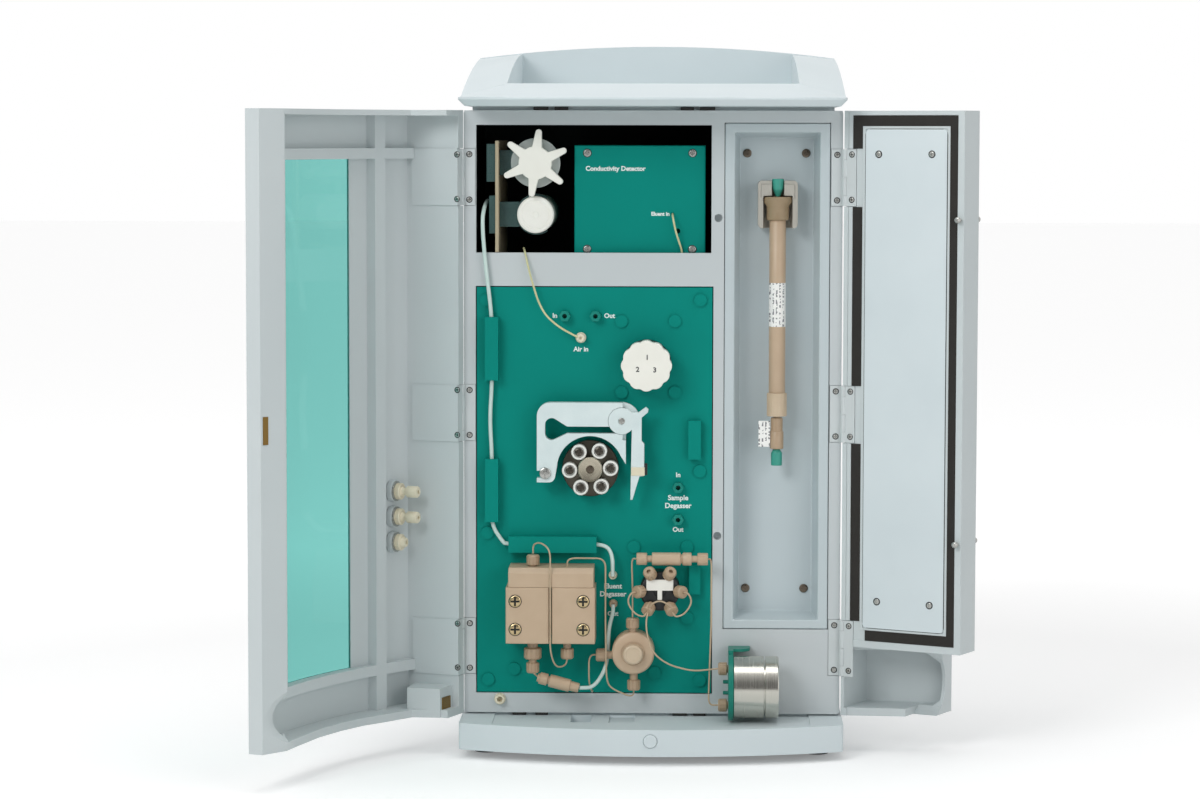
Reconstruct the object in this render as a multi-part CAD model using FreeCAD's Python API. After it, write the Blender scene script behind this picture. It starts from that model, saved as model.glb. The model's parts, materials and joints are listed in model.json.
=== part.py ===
import FreeCAD, Part
import math
import os
from FreeCAD import Vector

# Bench-top ion chromatograph with both doors open, in millimetres.
# Origin on the bench, on the centre line, straight below the cabinet's front face.
# +X is the user's right, +Y runs into the cabinet, +Z is up.

# Stack of base, cabinet and top tray
foot_height = 9.0
foot_radius = 12.0
foot_inset = 24.0
base_height = 25.4
base_gap = 1.6
base_recess_half = 151.0
base_recess_depth = 1.2
base_lip = 9.0
cabinet_height = 578.5
cabinet_depth = 288.0
tray_gap = 3.7
tray_edge_rise = 7.8
tray_inner_rise = (21.8, 45.4, 55.8)
tray_outer_rise = (10.0, 35.8, 51.5)
tray_crown_rise = 63.4
tray_floor_thickness = 6.0
tray_wall_side = 44.0
tray_wall_back = 7.0
tray_cavity_front = -4.0
tray_corner_radius = 8.0
tray_chamfer = 6.0
bow_radius = 500.0
bow_centre_depth = 88.0
body_overhang = 2.0

# Front frame and the openings in it
panel_margin_left = 12.4
panel_width = 225.1
panel_spread = panel_width / 225.1
mullion_width = 11.0
column_frame_width = 101.0
frame_margin_right = 11.5
frame_thickness = 8.0
panel_margin_bottom = 20.0
panel_height = 390.2
panel_thickness = 4.0
panel_gap = 1.0
bay_margin_top = 13.9
bay_height = 121.6
bay_depth = 150.0
bay_hidden_rim = 11.0
column_margin_bottom = 82.0
column_frame_height = 485.0
column_rim_side = 10.0
column_rim_end = 9.0
column_bay_depth = 34.0
column_draft = 4.8
sheet = 1.5
catch_hole_radius = 3.8
catch_inset = 5.5
catch_height_low = 172.0
catch_height_high = 476.5

# Hinges
hinge_axis_out = 3.0
hinge_height = 54.0
hinge_leaf_width = 11.0
hinge_leaf_thickness = 2.0
hinge_knuckle_radius = 3.0
hinge_pin_radius = 1.5
hinge_running_gap = 0.05
hinge_levels = (64.7, 289.8, 515.1)
hinge_end_gap = 0.4
hinge_clear = 0.5
leaf_depth = 50.0
screw_radius = 2.4
screw_height = 0.8
screw_inset = 5.4

# Doors, in their closed place: u runs from the hinge, v runs outwards
left_open_angle = 112.0
right_open_angle = 152.0
left_door_share = 0.7753
door_meeting_gap = 0.6
door_back_gap = 1.0
door_wall = 3.2
door_side_wall = 11.0
door_floor = 7.5
door_edge_strip = 13.0
door_lip_inset = 28.0
door_lip_drop = 24.0
door_rib_width = 10.0
door_rib_height = 9.0
door_rib_u = 57.0
door_rib_top = 36.0
door_rib_bottom = 41.0
window_u = (89.0, 240.0)
window_thickness = 2.4
window_gap = 0.15
catch_box_size = (34.0, 30.0, 28.0)
strike_level = 279.0
strike_height = 25.0
bulkhead_levels = (166.0, 190.5, 215.0)
bulkhead_u = 31.0
bulkhead_radius = 4.0
bulkhead_washer = 9.6
bulkhead_boss = 4.2

# Right door's insulated block
block_side_gap = 4.5
block_overlap = 38.1
block_thickness = 35.5
block_bottom = 67.0
gasket_band = 10.0
gasket_edge = 4.5
gasket_free_edge = 6.8
gasket_thickness = 0.7
inner_panel_inset = 13.0
inner_panel_thickness = 1.2
inner_panel_radius = 4.0
stud_ball_radius = 3.0
stud_neck_radius = 1.8
stud_length = 8.0
stud_inset = 4.0

# Green wet panel, each item placed from the panel's nearest edges
disc_radius = 6.0
disc_height = 2.2
channel_width = 12.6
channel_length = 60.6
channel_height = 12.0
tube_bore_radius = 2.6
port_radius = 5.6
port_height = 9.0
port_bore_radius = 2.2
port_bore_depth = 8.0
drain_radius = 5.4
drain_length = 6.5
knob_radius = 24.2
knob_lobes = 12
knob_lobe_radius = 4.6
knob_height = 16.0
suppressor_radius = 23.4
suppressor_height = 17.8
suppressor_at = (162.8, 73.0)
running_gap = 0.3
shaft_radius = 4.0

# Peristaltic pump
rotor_at = (109.3, 172.4)
rotor_radius = 27.0
rotor_plate = 5.0
rotor_plate_gap = 7.0
hub_radius = 11.7
hub_length = 14.0
roller_count = 6
roller_ring_radius = 19.5
roller_radius = 7.3
roller_length = 12.6
roller_pin_radius = 2.6
roller_head_radius = 4.0
jaw_clearance = 4.8
cassette_thickness = 12.0
cassette_front = 24.0
cassette_screw_at = (-42.8, -3.9)
cassette_screw_radius = 3.0
latch_pivot_at = (29.9, 46.2)
latch_disc_radius = 12.7
latch_pin_radius = 3.0
latch_thickness = 5.8

# High-pressure pump, purge valve, injection valve and filters
pump_at = (72.2, 52.6)
pump_width = 85.0
pump_height = 54.0
pump_depth = 42.0
pump_split = 2.4
pump_top_height = 18.4
pump_top_chamfer = 5.0
pump_screw_radius = 5.6
purge_at = (150.6, 41.6)
purge_radius = 20.3
purge_depth = 26.0
purge_knob_radius = 9.4
purge_knob_height = 9.0
valve_at = (176.0, 101.2)
valve_radius = 19.0
valve_depth = 22.0
nut_radius = 6.2
nut_length = 10.0
valve_nut_radius = 6.0
valve_nut_length = 9.0
capillary_radius = 0.8
supply_tube_radius = 1.9
air_tube_radius = 1.0
shank_gap = 0.05

# Pulsation damper
damper_at = (92.0, 66.0)
damper_radius = 29.6
damper_out = 31.0
damper_body_length = 29.0
damper_groove = 2.6
damper_ring_length = 11.3
damper_flange = 4.8
damper_nut_rise = 17.5
damper_clearance = 3.4
damper_rise = 10.8

# Column and its holder
column_at = (119.2, 14.0)
column_radius = 7.9

# Clean white cartridges in the detector bay
cartridge_from_left = 56.5
cartridge_high = 36.1
cartridge_low = 85.4
cartridge_radius = 17.6
cartridge_length = 120.0
star_tip_radius = 32.2
star_core_radius = 15.8
star_arm_radius = 3.0
star_thickness = 9.0
flange_radius = 23.6
clip_wall = 1.6
clip_opening = 55.0
bracket_thickness = 3.3
detector_offset = 92.8
detector_margin = 6.8
detector_depth = 128.0
detector_height = 112.0

cabinet_bottom = foot_height + base_height + base_gap
cabinet_top = cabinet_bottom + cabinet_height
cabinet_width = (panel_margin_left + panel_width + mullion_width + column_frame_width
                 + frame_margin_right)
cabinet_half = cabinet_width / 2.0
body_half = cabinet_half + body_overhang
base_top = foot_height + base_height
panel_left = panel_margin_left - cabinet_half
panel_right = panel_left + panel_width
panel_bottom = cabinet_bottom + panel_margin_bottom
panel_top = panel_bottom + panel_height
bay_top = cabinet_top - bay_margin_top
bay_bottom = bay_top - bay_height
bay_left = panel_left - 0.6
bay_right = panel_right - 1.2
column_right = cabinet_half - frame_margin_right
column_left = column_right - column_frame_width
column_bottom = cabinet_bottom + column_margin_bottom
column_top = column_bottom + column_frame_height
hinge_x = body_half
left_door_width = left_door_share * 2 * hinge_x
right_door_span = 2 * hinge_x - left_door_width - door_meeting_gap
block_width = right_door_span + block_overlap


def box(low, high):
    size = Vector(*high) - Vector(*low)
    return Part.makeBox(size.x, size.y, size.z, Vector(*low))


def rod(start, axis, radius, length):
    return Part.makeCylinder(radius, length, Vector(*start), Vector(*axis))


def cone(start, axis, radius_start, radius_end, length):
    return Part.makeCone(radius_start, radius_end, length, Vector(*start), Vector(*axis))


def prism(points, lift):
    corners = [Vector(*point) for point in points]
    face = Part.Face(Part.makePolygon(corners + [corners[0]]))
    return face.extrude(Vector(*lift))


def outline(edges, lift):
    return Part.Face(Part.Wire(edges)).extrude(Vector(*lift))


def line(start, end):
    return Part.LineSegment(Vector(*start), Vector(*end)).toShape()


def arc(start, middle, end):
    return Part.Arc(Vector(*start), Vector(*middle), Vector(*end)).toShape()


def hexagon(centre, axis, radius, length):
    around = Vector(*axis)
    side = Vector(0, 0, 1).cross(around)
    if side.Length < 0.1:
        side = Vector(1, 0, 0)
    side.normalize()
    up = around.cross(side)
    corners = []
    for step in range(6):
        turn = math.radians(60 * step)
        corners.append(Vector(*centre) + side * (radius * math.cos(turn)) + up * (radius * math.sin(turn)))
    face = Part.Face(Part.makePolygon(corners + [corners[0]]))
    return face.extrude(around * length)


def joined(shapes):
    whole = shapes[0]
    if len(shapes) > 1:
        whole = whole.fuse(shapes[1:])
    return whole.removeSplitter()


def group(shapes):
    return Part.makeCompound(shapes)


def bow_depth(x):
    return bow_centre_depth - bow_radius + math.sqrt(bow_radius ** 2 - x ** 2)


def bowed_plan(half, back, z, lift, front_inset=0.0):
    side_front = -bow_depth(half) + front_inset
    middle_front = -bow_centre_depth + front_inset
    edges = [arc((-half, side_front, z), (0, middle_front, z), (half, side_front, z)),
             line((half, side_front, z), (half, back, z)),
             line((half, back, z), (-half, back, z)),
             line((-half, back, z), (-half, side_front, z))]
    return outline(edges, (0, 0, lift))


def export(name, shape):
    shape.exportStep("parts/" + name + ".step")


def on_panel(from_left, from_top):
    return panel_left + from_left * panel_spread, panel_top - from_top


def feet():
    pads = []
    for x in (-body_half + foot_inset, body_half - foot_inset):
        for y in (-8.0, cabinet_depth - foot_inset):
            pads.append(rod((x, y, 0), (0, 0, 1), foot_radius, foot_height))
    pads.append(rod((0, 0, 0), (0, 0, 1), foot_radius, foot_height))
    return group(pads)


def base_tray():
    body = bowed_plan(body_half, cabinet_depth + 2.0, foot_height, base_height)
    uprights = [edge for edge in body.Edges if abs(edge.BoundBox.ZLength - base_height) < 0.1]
    body = body.makeFillet(5.0, uprights)
    seat = box((-cabinet_half + 6, 6, base_top), (cabinet_half - 6, cabinet_depth - 6, cabinet_bottom))
    recess = bowed_plan(base_recess_half, 6.0, base_top - base_recess_depth, base_recess_depth + 1, base_lip)
    slot = box((-77, -38, base_top - 14), (-57.5, 4, base_top + 0.1))
    notch = box((-40.5, -39, base_top - 3.5), (-16, 4, base_top + 0.1))
    bore = rod((0, -bow_centre_depth - 1, button_level()), (0, 1, 0), button_radius + button_gap, 14.0)
    return joined([body, seat]).cut(recess).cut(group([slot, notch, bore]))


button_radius = 6.4
button_gap = 0.3
button_length = 9.0
button_proud = 1.6
button_travel = 1.2


def button_level():
    return foot_height + 0.58 * base_height


def standby_button():
    front = -bow_centre_depth - button_proud
    body = rod((0, front, button_level()), (0, 1, 0), button_radius, button_length)
    return body.makeChamfer(0.6, [body.Edges[0] if body.Edges[0].BoundBox.YMax < front + 0.1 else body.Edges[2]])


def tray_side(side, low, back):
    front = tray_cavity_front - 1.0
    middle = (front + back) / 2
    half = body_half - tray_wall_side
    wires = []
    for x, rises in ((side * body_half, tray_outer_rise), (side * half, tray_inner_rise)):
        edges = [line((x, front, low), (x, back, low)),
                 line((x, back, low), (x, back, low + rises[2])),
                 arc((x, back, low + rises[2]), (x, middle, low + rises[1]), (x, front, low + rises[0])),
                 line((x, front, low + rises[0]), (x, front, low))]
        wires.append(Part.Wire(edges))
    return Part.makeLoft(wires, True, True)


def tray_front(low):
    far = -bow_centre_depth - 6.0
    inner = body_half - tray_wall_side
    wires = []
    for x in (-body_half, -inner, -inner / 2, 0.0, inner / 2, inner, body_half):
        crest = low + (tray_outer_rise[0] if abs(x) > inner + 1 else tray_inner_rise[0])
        slope = (crest - low - tray_edge_rise) / (bow_depth(x) + tray_cavity_front)
        end = crest - slope * (tray_cavity_front - far)
        wires.append(Part.makePolygon([Vector(x, tray_cavity_front, low), Vector(x, tray_cavity_front, crest),
                                       Vector(x, far, end), Vector(x, far, low), Vector(x, tray_cavity_front, low)]))
    return Part.makeLoft(wires, True, True)


def bottle_tray():
    low = cabinet_top + tray_gap
    back = cabinet_depth + 2.0
    plan = bowed_plan(body_half, back, low, 90.0)
    uprights = []
    for edge in plan.Edges:
        bounds = edge.BoundBox
        if bounds.ZLength > 80:
            uprights.append(edge)
    plan = plan.makeFillet(tray_corner_radius, uprights)
    rims = [edge for edge in plan.Edges if edge.BoundBox.ZMax < low + 0.1 and edge.BoundBox.YMax < back - 1]
    plan = plan.makeChamfer(tray_chamfer, rims)
    crown_low = low + tray_outer_rise[2]
    crown_edges = [line((-body_half, back, low), (-body_half, back, crown_low)),
                   arc((-body_half, back, crown_low), (0, back, low + tray_crown_rise), (body_half, back, crown_low)),
                   line((body_half, back, crown_low), (body_half, back, low)),
                   line((body_half, back, low), (-body_half, back, low))]
    crown = outline(crown_edges, (0, -tray_wall_back, 0))
    floor = box((-body_half, tray_cavity_front - 2, low), (body_half, back, low + tray_floor_thickness))
    whole = joined([tray_front(low), tray_side(-1, low, back), tray_side(1, low, back), crown, floor])
    cavity = box((-body_half + tray_wall_side, tray_cavity_front, low + tray_floor_thickness),
                 (body_half - tray_wall_side, back - tray_wall_back, low + 90))
    plinth = box((-cabinet_half + 8, 8, cabinet_top), (cabinet_half - 8, cabinet_depth - 8, low + 1))
    return joined([whole.common(plan).cut(cavity), plinth])


def housing():
    outer = box((-cabinet_half, frame_thickness, cabinet_bottom), (cabinet_half, cabinet_depth, cabinet_top))
    inner = box((-cabinet_half + sheet, frame_thickness - 1, cabinet_bottom + sheet),
                (cabinet_half - sheet, cabinet_depth + 1, cabinet_top - sheet))
    return outer.cut(inner)


def front_frame():
    body = box((-cabinet_half, 0, cabinet_bottom), (cabinet_half, frame_thickness, cabinet_top))
    corners = [edge for edge in body.Edges if edge.BoundBox.YLength > frame_thickness - 0.1]
    body = body.makeFillet(3.0, corners)
    through = frame_thickness + 1
    cuts = [box((bay_left, -1, bay_bottom), (bay_right, through, bay_top)),
            box((panel_left - panel_gap, -1, panel_bottom - panel_gap),
                (panel_right + panel_gap, through, panel_top + panel_gap)),
            box((column_left, -1, column_bottom), (column_right, through, column_top))]
    for level in (catch_height_low, catch_height_high):
        cuts.append(rod((column_left - catch_inset, -1, cabinet_bottom + level), (0, 1, 0), catch_hole_radius, 8.5))
    for side in (-1, 1):
        for level in hinge_levels:
            low = cabinet_bottom + level - hinge_height / 2 - hinge_end_gap
            inner = side * (cabinet_half - hinge_leaf_width - hinge_end_gap)
            outer = side * (cabinet_half + 1)
            cuts.append(box((min(inner, outer), -1, low),
                            (max(inner, outer), hinge_leaf_thickness, low + hinge_height + 2 * hinge_end_gap)))
    drain_x = panel_left + 22.1
    cuts.append(rod((drain_x, -1, panel_bottom - 6.6), (0, 1, 0), drain_radius - 1.6, through + 1))
    return body.cut(group(cuts))


def drain_nipple():
    x = panel_left + 22.1
    z = panel_bottom - 6.6
    nose = rod((x, -drain_length, z), (0, 1, 0), drain_radius, drain_length)
    shank = rod((x, -0.1, z), (0, 1, 0), drain_radius - 1.6 - shank_gap, frame_thickness + 4)
    bore = rod((x, -drain_length - 1, z), (0, 1, 0), drain_radius - 3.0, drain_length + frame_thickness + 8)
    return joined([nose, shank]).cut(bore)


def rear_panel():
    back = cabinet_depth
    plate = box((-cabinet_half, back, cabinet_bottom), (cabinet_half, back + 2.0, cabinet_top))
    cuts = [rod((fan_at[0], back - 1, fan_at[1]), (0, 1, 0), fan_radius, 4),
            box(inlet_low(), inlet_high())]
    for row in range(8):
        z = cabinet_bottom + 60 + 9 * row
        cuts.append(box((40, back - 1, z), (140, back + 3, z + 4)))
    return plate.cut(group(cuts))


fan_radius = 37.0
fan_size = 80.0
fan_depth = 25.0
fan_inset = 90.5
fan_drop = 74.5
fan_at = (fan_inset - cabinet_half, cabinet_top - fan_drop)
inlet_size = (48.0, 27.0)
inlet_at = (110.0, 520.0)


def inlet_low():
    return (inlet_at[0] - inlet_size[0] / 2, cabinet_depth - 1, inlet_at[1] - inlet_size[1] / 2)


def inlet_high():
    return (inlet_at[0] + inlet_size[0] / 2, cabinet_depth + 3, inlet_at[1] + inlet_size[1] / 2)


def power_inlet():
    low = inlet_low()
    high = inlet_high()
    flange = box((low[0] - 5, cabinet_depth + 2.0, low[2] - 5), (high[0] + 5, cabinet_depth + 4.5, high[2] + 5))
    shell = box((low[0] + 0.4, cabinet_depth - 22, low[2] + 0.4), (high[0] - 0.4, cabinet_depth + 3, high[2] - 0.4))
    cavity = box((low[0] + 10, cabinet_depth - 14, low[2] + 4), (high[0] - 10, cabinet_depth + 6, high[2] - 4))
    body = joined([flange, shell]).cut(cavity)
    blades = []
    for offset in (-7.0, 0.0, 7.0):
        blades.append(box((inlet_at[0] + offset - 1, cabinet_depth - 15, inlet_at[1] - 2.5),
                          (inlet_at[0] + offset + 1, cabinet_depth - 1, inlet_at[1] + 2.5)))
    return joined([body] + blades)


def fan_housing():
    half = fan_size / 2
    back = cabinet_depth
    body = box((fan_at[0] - half, back - fan_depth, fan_at[1] - half), (fan_at[0] + half, back, fan_at[1] + half))
    hole = rod((fan_at[0], back - fan_depth - 1, fan_at[1]), (0, 1, 0), fan_radius, fan_depth + 2)
    spider = [rod((fan_at[0], back - fan_depth, fan_at[1]), (0, 1, 0), 14.0, 3.0)]
    for turn in (0, 90):
        bar = box((-half + 1, 0, -2), (half - 1, 3, 2))
        bar.rotate(Vector(0, 0, 0), Vector(0, 1, 0), turn)
        bar.translate(Vector(fan_at[0], back - fan_depth, fan_at[1]))
        spider.append(bar)
    stub = rod((fan_at[0], back - fan_depth, fan_at[1]), (0, 1, 0), 2.5, 14.0)
    return joined([body.cut(hole)] + spider + [stub])


def fan_rotor():
    y = cabinet_depth - fan_depth + 3.5
    hub = rod((fan_at[0], y, fan_at[1]), (0, 1, 0), 14.0, 17.0)
    blades = [hub]
    for step in range(7):
        blade = box((12, -7, -0.8), (fan_radius - 1.5, 7, 0.8))
        blade.rotate(Vector(0, 0, 0), Vector(1, 0, 0), 38)
        blade.rotate(Vector(0, 0, 0), Vector(0, 1, 0), 360.0 / 7 * step)
        blade.translate(Vector(fan_at[0], y + 8.5, fan_at[1]))
        blades.append(blade)
    bore = rod((fan_at[0], y - 1, fan_at[1]), (0, 1, 0), 2.5 + hinge_running_gap, 12.0)
    return joined(blades).cut(bore)


def disc_places():
    right = panel_width / panel_spread
    low = panel_height
    return [(8.9, 12.4), (right - 11.4, 12.0), (right - 86.8, 32.4), (right - 35.6, 32.0),
            (right - 86.6, 100.5), (right - 35.5, 100.3), (right - 11.5, 175.9), (10.0, low - 153.9),
            (right - 74.3, low - 141.1), (right - 23.2, low - 141.4), (right - 23.0, low - 72.7),
            (35.8, low - 22.6), (10.8, low - 12.3), (right - 54.2, low - 19.6), (right - 10.8, low - 12.5)]


def channel_boxes():
    left = panel_left + 8.4
    low_top = panel_bottom + 151.8
    right = panel_right - 10.5
    return [((left, -channel_height, panel_top - 28.2 - channel_length),
             (left + channel_width, 1, panel_top - 28.2)),
            ((left, -channel_height, panel_top - 164.2 - channel_length),
             (left + channel_width, 1, panel_top - 164.2)),
            ((panel_left + 30.8, -channel_height, low_top - 15.6),
             (panel_left + 115.2, 1, low_top)),
            ((right - 12.0, -8, panel_bottom + 226), (right, 1, panel_bottom + 263.3)),
            ((right - 10.8, -8, panel_bottom + 96.2), (right, 1, panel_bottom + 123.8))]


def mcs_ports():
    return [on_panel(84.3, 27.4), on_panel(113.7, 27.4)]


def degasser_ports():
    from_left = panel_width / panel_spread - 32.1
    return [on_panel(from_left, 191.3), on_panel(from_left, 222.2)]


def eluent_ports():
    from_left = panel_width / panel_spread - 94.4
    return [on_panel(from_left, panel_height - 114.1), on_panel(from_left + 0.4, panel_height - 86.4)]


def air_port():
    return on_panel(99.7, 48.0)


def rotor_centre():
    return on_panel(*rotor_at)


def front_panel():
    plate = box((panel_left, 0, panel_bottom), (panel_right, panel_thickness, panel_top))
    solids = [plate]
    for from_left, from_top in disc_places():
        x, z = on_panel(from_left, from_top)
        solids.append(rod((x, -disc_height, z), (0, 1, 0), disc_radius, disc_height + 1))
    for low, high in channel_boxes():
        solids.append(box(low, high))
    body = joined(solids)
    cuts = []
    vertical = channel_boxes()[:2]
    for low, high in vertical:
        x = (low[0] + high[0]) / 2
        cuts.append(rod((x, -channel_height / 2, low[2] - 1), (0, 0, 1), tube_bore_radius, high[2] - low[2] + 2))
    low, high = channel_boxes()[2]
    cuts.append(rod((low[0] - 1, -channel_height / 2, (low[2] + high[2]) / 2), (1, 0, 0),
                    tube_bore_radius, high[0] - low[0] + 2))
    for x, z in mcs_ports() + degasser_ports() + eluent_ports() + [air_port()]:
        cuts.append(rod((x, -1, z), (0, 1, 0), port_radius - 1.8, panel_thickness + 2))
    x, z = rotor_centre()
    cuts.append(rod((x, -1, z), (0, 1, 0), shaft_radius + 1.0, panel_thickness + 2))
    return body.cut(group(cuts))


def port(x, z, bore):
    collar = hexagon((x, -port_height, z), (0, 1, 0), port_radius, port_height)
    shank = rod((x, -0.1, z), (0, 1, 0), port_radius - 1.8 - shank_gap, panel_thickness + 6)
    hole = rod((x, -port_height - 1, z), (0, 1, 0), bore, port_bore_depth + 1)
    return joined([collar, shank]).cut(hole)


def wet_ports():
    return [port(x, z, port_bore_radius) for x, z in mcs_ports() + degasser_ports()]


def suppressor_centre():
    return on_panel(*suppressor_at)


def suppressor_body():
    x, z = suppressor_centre()
    body = rod((x, -suppressor_height, z), (0, 1, 0), suppressor_radius, suppressor_height)
    spindle = rod((x, -suppressor_height - knob_height + 3, z), (0, 1, 0), shaft_radius, knob_height)
    return joined([body, spindle])


def lobed_plan(x, z, y, lift):
    waist = knob_radius - 1.3
    half_lobe = math.radians(180.0 / knob_lobes) * 0.62
    edges = []
    for lobe in range(knob_lobes):
        mid = math.radians(90 + 360.0 / knob_lobes * lobe)
        start = mid - half_lobe
        end = mid + half_lobe
        gap = math.radians(90 + 360.0 / knob_lobes * (lobe + 0.5))
        next_start = mid + math.radians(360.0 / knob_lobes) - half_lobe
        ring = knob_radius - 0.6

        def at(radius, turn):
            return (x + radius * math.cos(turn), y, z + radius * math.sin(turn))

        edges.append(arc(at(ring, start), at(knob_radius, mid), at(ring, end)))
        edges.append(arc(at(ring, end), at(waist, gap), at(ring, next_start)))
    return outline(edges, (0, lift, 0))


def suppressor_knob():
    x, z = suppressor_centre()
    back = -suppressor_height - running_gap
    body = lobed_plan(x, z, back - knob_height, knob_height)
    bore = rod((x, back - knob_height + 3 - 0.3, z), (0, 1, 0), shaft_radius + hinge_running_gap, knob_height)
    return body.cut(bore)


def pump_rotor():
    x, z = rotor_centre()
    plate = rod((x, -rotor_plate_gap - rotor_plate, z), (0, 1, 0), rotor_radius, rotor_plate)
    hub = rod((x, -rotor_plate_gap - rotor_plate - hub_length, z), (0, 1, 0), hub_radius, hub_length + 1)
    shaft = rod((x, -rotor_plate_gap - 1, z), (0, 1, 0), shaft_radius, rotor_plate_gap + panel_thickness + 12)
    solids = [plate, hub, shaft]
    front = -rotor_plate_gap - rotor_plate - roller_length - 2 * running_gap
    for px, pz in roller_centres():
        solids.append(rod((px, front, pz), (0, 1, 0), roller_pin_radius, roller_length + 2))
        solids.append(rod((px, front - 1.4, pz), (0, 1, 0), roller_head_radius, 1.4))
    return joined(solids)


def roller_centres():
    x, z = rotor_centre()
    centres = []
    for step in range(roller_count):
        turn = math.radians(3 + 360.0 / roller_count * step)
        centres.append((x + roller_ring_radius * math.cos(turn), z + roller_ring_radius * math.sin(turn)))
    return centres


def roller(centre):
    x, z = centre
    back = -rotor_plate_gap - rotor_plate - running_gap
    body = rod((x, back - roller_length, z), (0, 1, 0), roller_radius, roller_length)
    bore = rod((x, back - roller_length - 1, z), (0, 1, 0), roller_pin_radius + hinge_running_gap, roller_length + 2)
    return body.cut(bore)


def cassette_layer(edges_at, y, lift):
    cx, cz = rotor_centre()
    edges = []
    for kind, points in edges_at:
        places = [(cx + px, y, cz + pz) for px, pz in points]
        if kind == "line":
            edges.append(line(*places))
        else:
            edges.append(arc(*places))
    return outline(edges, (0, lift, 0))


def tubing_cassette():
    cx, cz = rotor_centre()
    jaw = rotor_radius + jaw_clearance
    left = -50.8
    top = 63.7
    end_x, end_z = latch_pivot_at
    end_r = top - end_z
    corner = 13.0
    jaw_right = (34.0, 5.0)
    jaw_start = math.radians(24)
    jaw_end = math.radians(176)
    start = (jaw * math.cos(jaw_start), jaw * math.sin(jaw_start))
    end = (jaw * math.cos(jaw_end), jaw * math.sin(jaw_end))
    slant = corner * (1 - math.sqrt(0.5))
    shape = [("line", ((left + corner, top), (end_x, top))),
             ("arc", ((end_x, top), (end_x + end_r * math.sqrt(0.5), end_z + end_r * math.sqrt(0.5)),
                      (end_x + end_r, end_z))),
             ("line", ((end_x + end_r, end_z), (end_x + 4.0, 33.0))),
             ("line", ((end_x + 4.0, 33.0), jaw_right)),
             ("line", (jaw_right, start)),
             ("arc", (start, (0, jaw), end)),
             ("line", (end, (-33.5, -8.0))),
             ("arc", ((-33.5, -8.0), (-36.0, -11.6), (-40.0, -12.7))),
             ("line", ((-40.0, -12.7), (left, -12.7))),
             ("line", ((left, -12.7), (left, top - corner))),
             ("arc", ((left, top - corner), (left + slant, top - slant), (left + corner, top)))]
    body = cassette_layer(shape, -cassette_front, cassette_thickness)
    slot = box((cx - 26, -cassette_front - 1, cz + 34.3), (cx + end_x + end_r + 5, 0, cz + 40.8))
    drop = [("line", ((-22.0, 34.3), (-22.0, 40.8))),
            ("line", ((-22.0, 40.8), (-33.2, 47.9))),
            ("arc", ((-33.2, 47.9), (-40.4, 47.6), (-43.0, 42.2))),
            ("line", ((-43.0, 42.2), (-43.0, 34.0))),
            ("arc", ((-43.0, 34.0), (-40.6, 29.2), (-33.7, 28.6))),
            ("line", ((-33.7, 28.6), (-22.0, 34.3)))]
    tear = cassette_layer(drop, -cassette_front - 1, cassette_thickness + 2)
    relief_back = -cassette_front + latch_thickness + running_gap
    relief = rod((cx + end_x, -cassette_front - 1, cz + end_z), (0, 1, 0), latch_disc_radius + running_gap,
                 relief_back + cassette_front + 1)
    relief_side = box((cx + end_x + 1, -cassette_front - 1, cz + 28.0), (cx + end_x + 30, relief_back, cz + top + 4))
    notch = box((cx + left - 1, -cassette_front - 1, cz - 8.3), (cx + left + 3.8, 0, cz - 1.5))
    sx, sz = cassette_screw_at
    bore = rod((cx + sx, -cassette_front - 1, cz + sz), (0, 1, 0), cassette_screw_radius + hinge_running_gap,
               cassette_thickness + 2)
    body = body.cut(group([slot, tear, relief, relief_side, notch, bore]))
    pin = rod((cx + end_x, -cassette_front + 0.4, cz + end_z), (0, 1, 0), latch_pin_radius,
              cassette_thickness - 0.4)
    return joined([body, pin])


def cassette_latch():
    cx, cz = rotor_centre()
    end_x, end_z = latch_pivot_at
    y = -cassette_front
    disc = rod((cx + end_x, y, cz + end_z), (0, 1, 0), latch_disc_radius, latch_thickness)
    arm = prism([(cx + 33.0, y, cz + 53.5), (cx + 45.5, y, cz + 55.0), (cx + 49.0, y, cz + 50.0),
                 (cx + 49.0, y, cz + 27.5), (cx + 51.5, y, cz + 24.5), (cx + 51.5, y, cz - 6.0),
                 (cx + 47.0, y, cz - 6.6), (cx + 40.4, y, cz - 28.9), (cx + 38.4, y, cz - 28.9), (cx + 39.6, y, cz + 38.5),
                 (cx + 33.0, y, cz + 38.5)], (0, latch_thickness, 0))
    lever = prism([(cx + 40.0, y, cz + 50.0), (cx + 53.0, y, cz + 59.8), (cx + 55.5, y, cz + 57.5),
                   (cx + 54.9, y, cz + 54.5), (cx + 47.0, y, cz + 48.0)], (0, latch_thickness, 0))
    bore = rod((cx + end_x, y - 1, cz + end_z), (0, 1, 0), latch_pin_radius + hinge_running_gap, latch_thickness + 2)
    return joined([disc, arm, lever]).cut(bore)


def cassette_screw():
    cx, cz = rotor_centre()
    sx, sz = cassette_screw_at
    shank = rod((cx + sx, -cassette_front - 0.6, cz + sz), (0, 1, 0), cassette_screw_radius, cassette_front + 0.6)
    head = rod((cx + sx, -cassette_front - 2.6, cz + sz), (0, 1, 0), 5.6, 2.0)
    return joined([shank, head])


def catch_pin():
    cx, cz = rotor_centre()
    foot = rod((cx + 46.5, -13.0, cz - 2.0), (0, 1, 0), 4.5, 13.0)
    return foot


def pump_corner():
    return panel_left + pump_at[0] * panel_spread - pump_width / 2, panel_bottom + pump_at[1]


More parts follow.
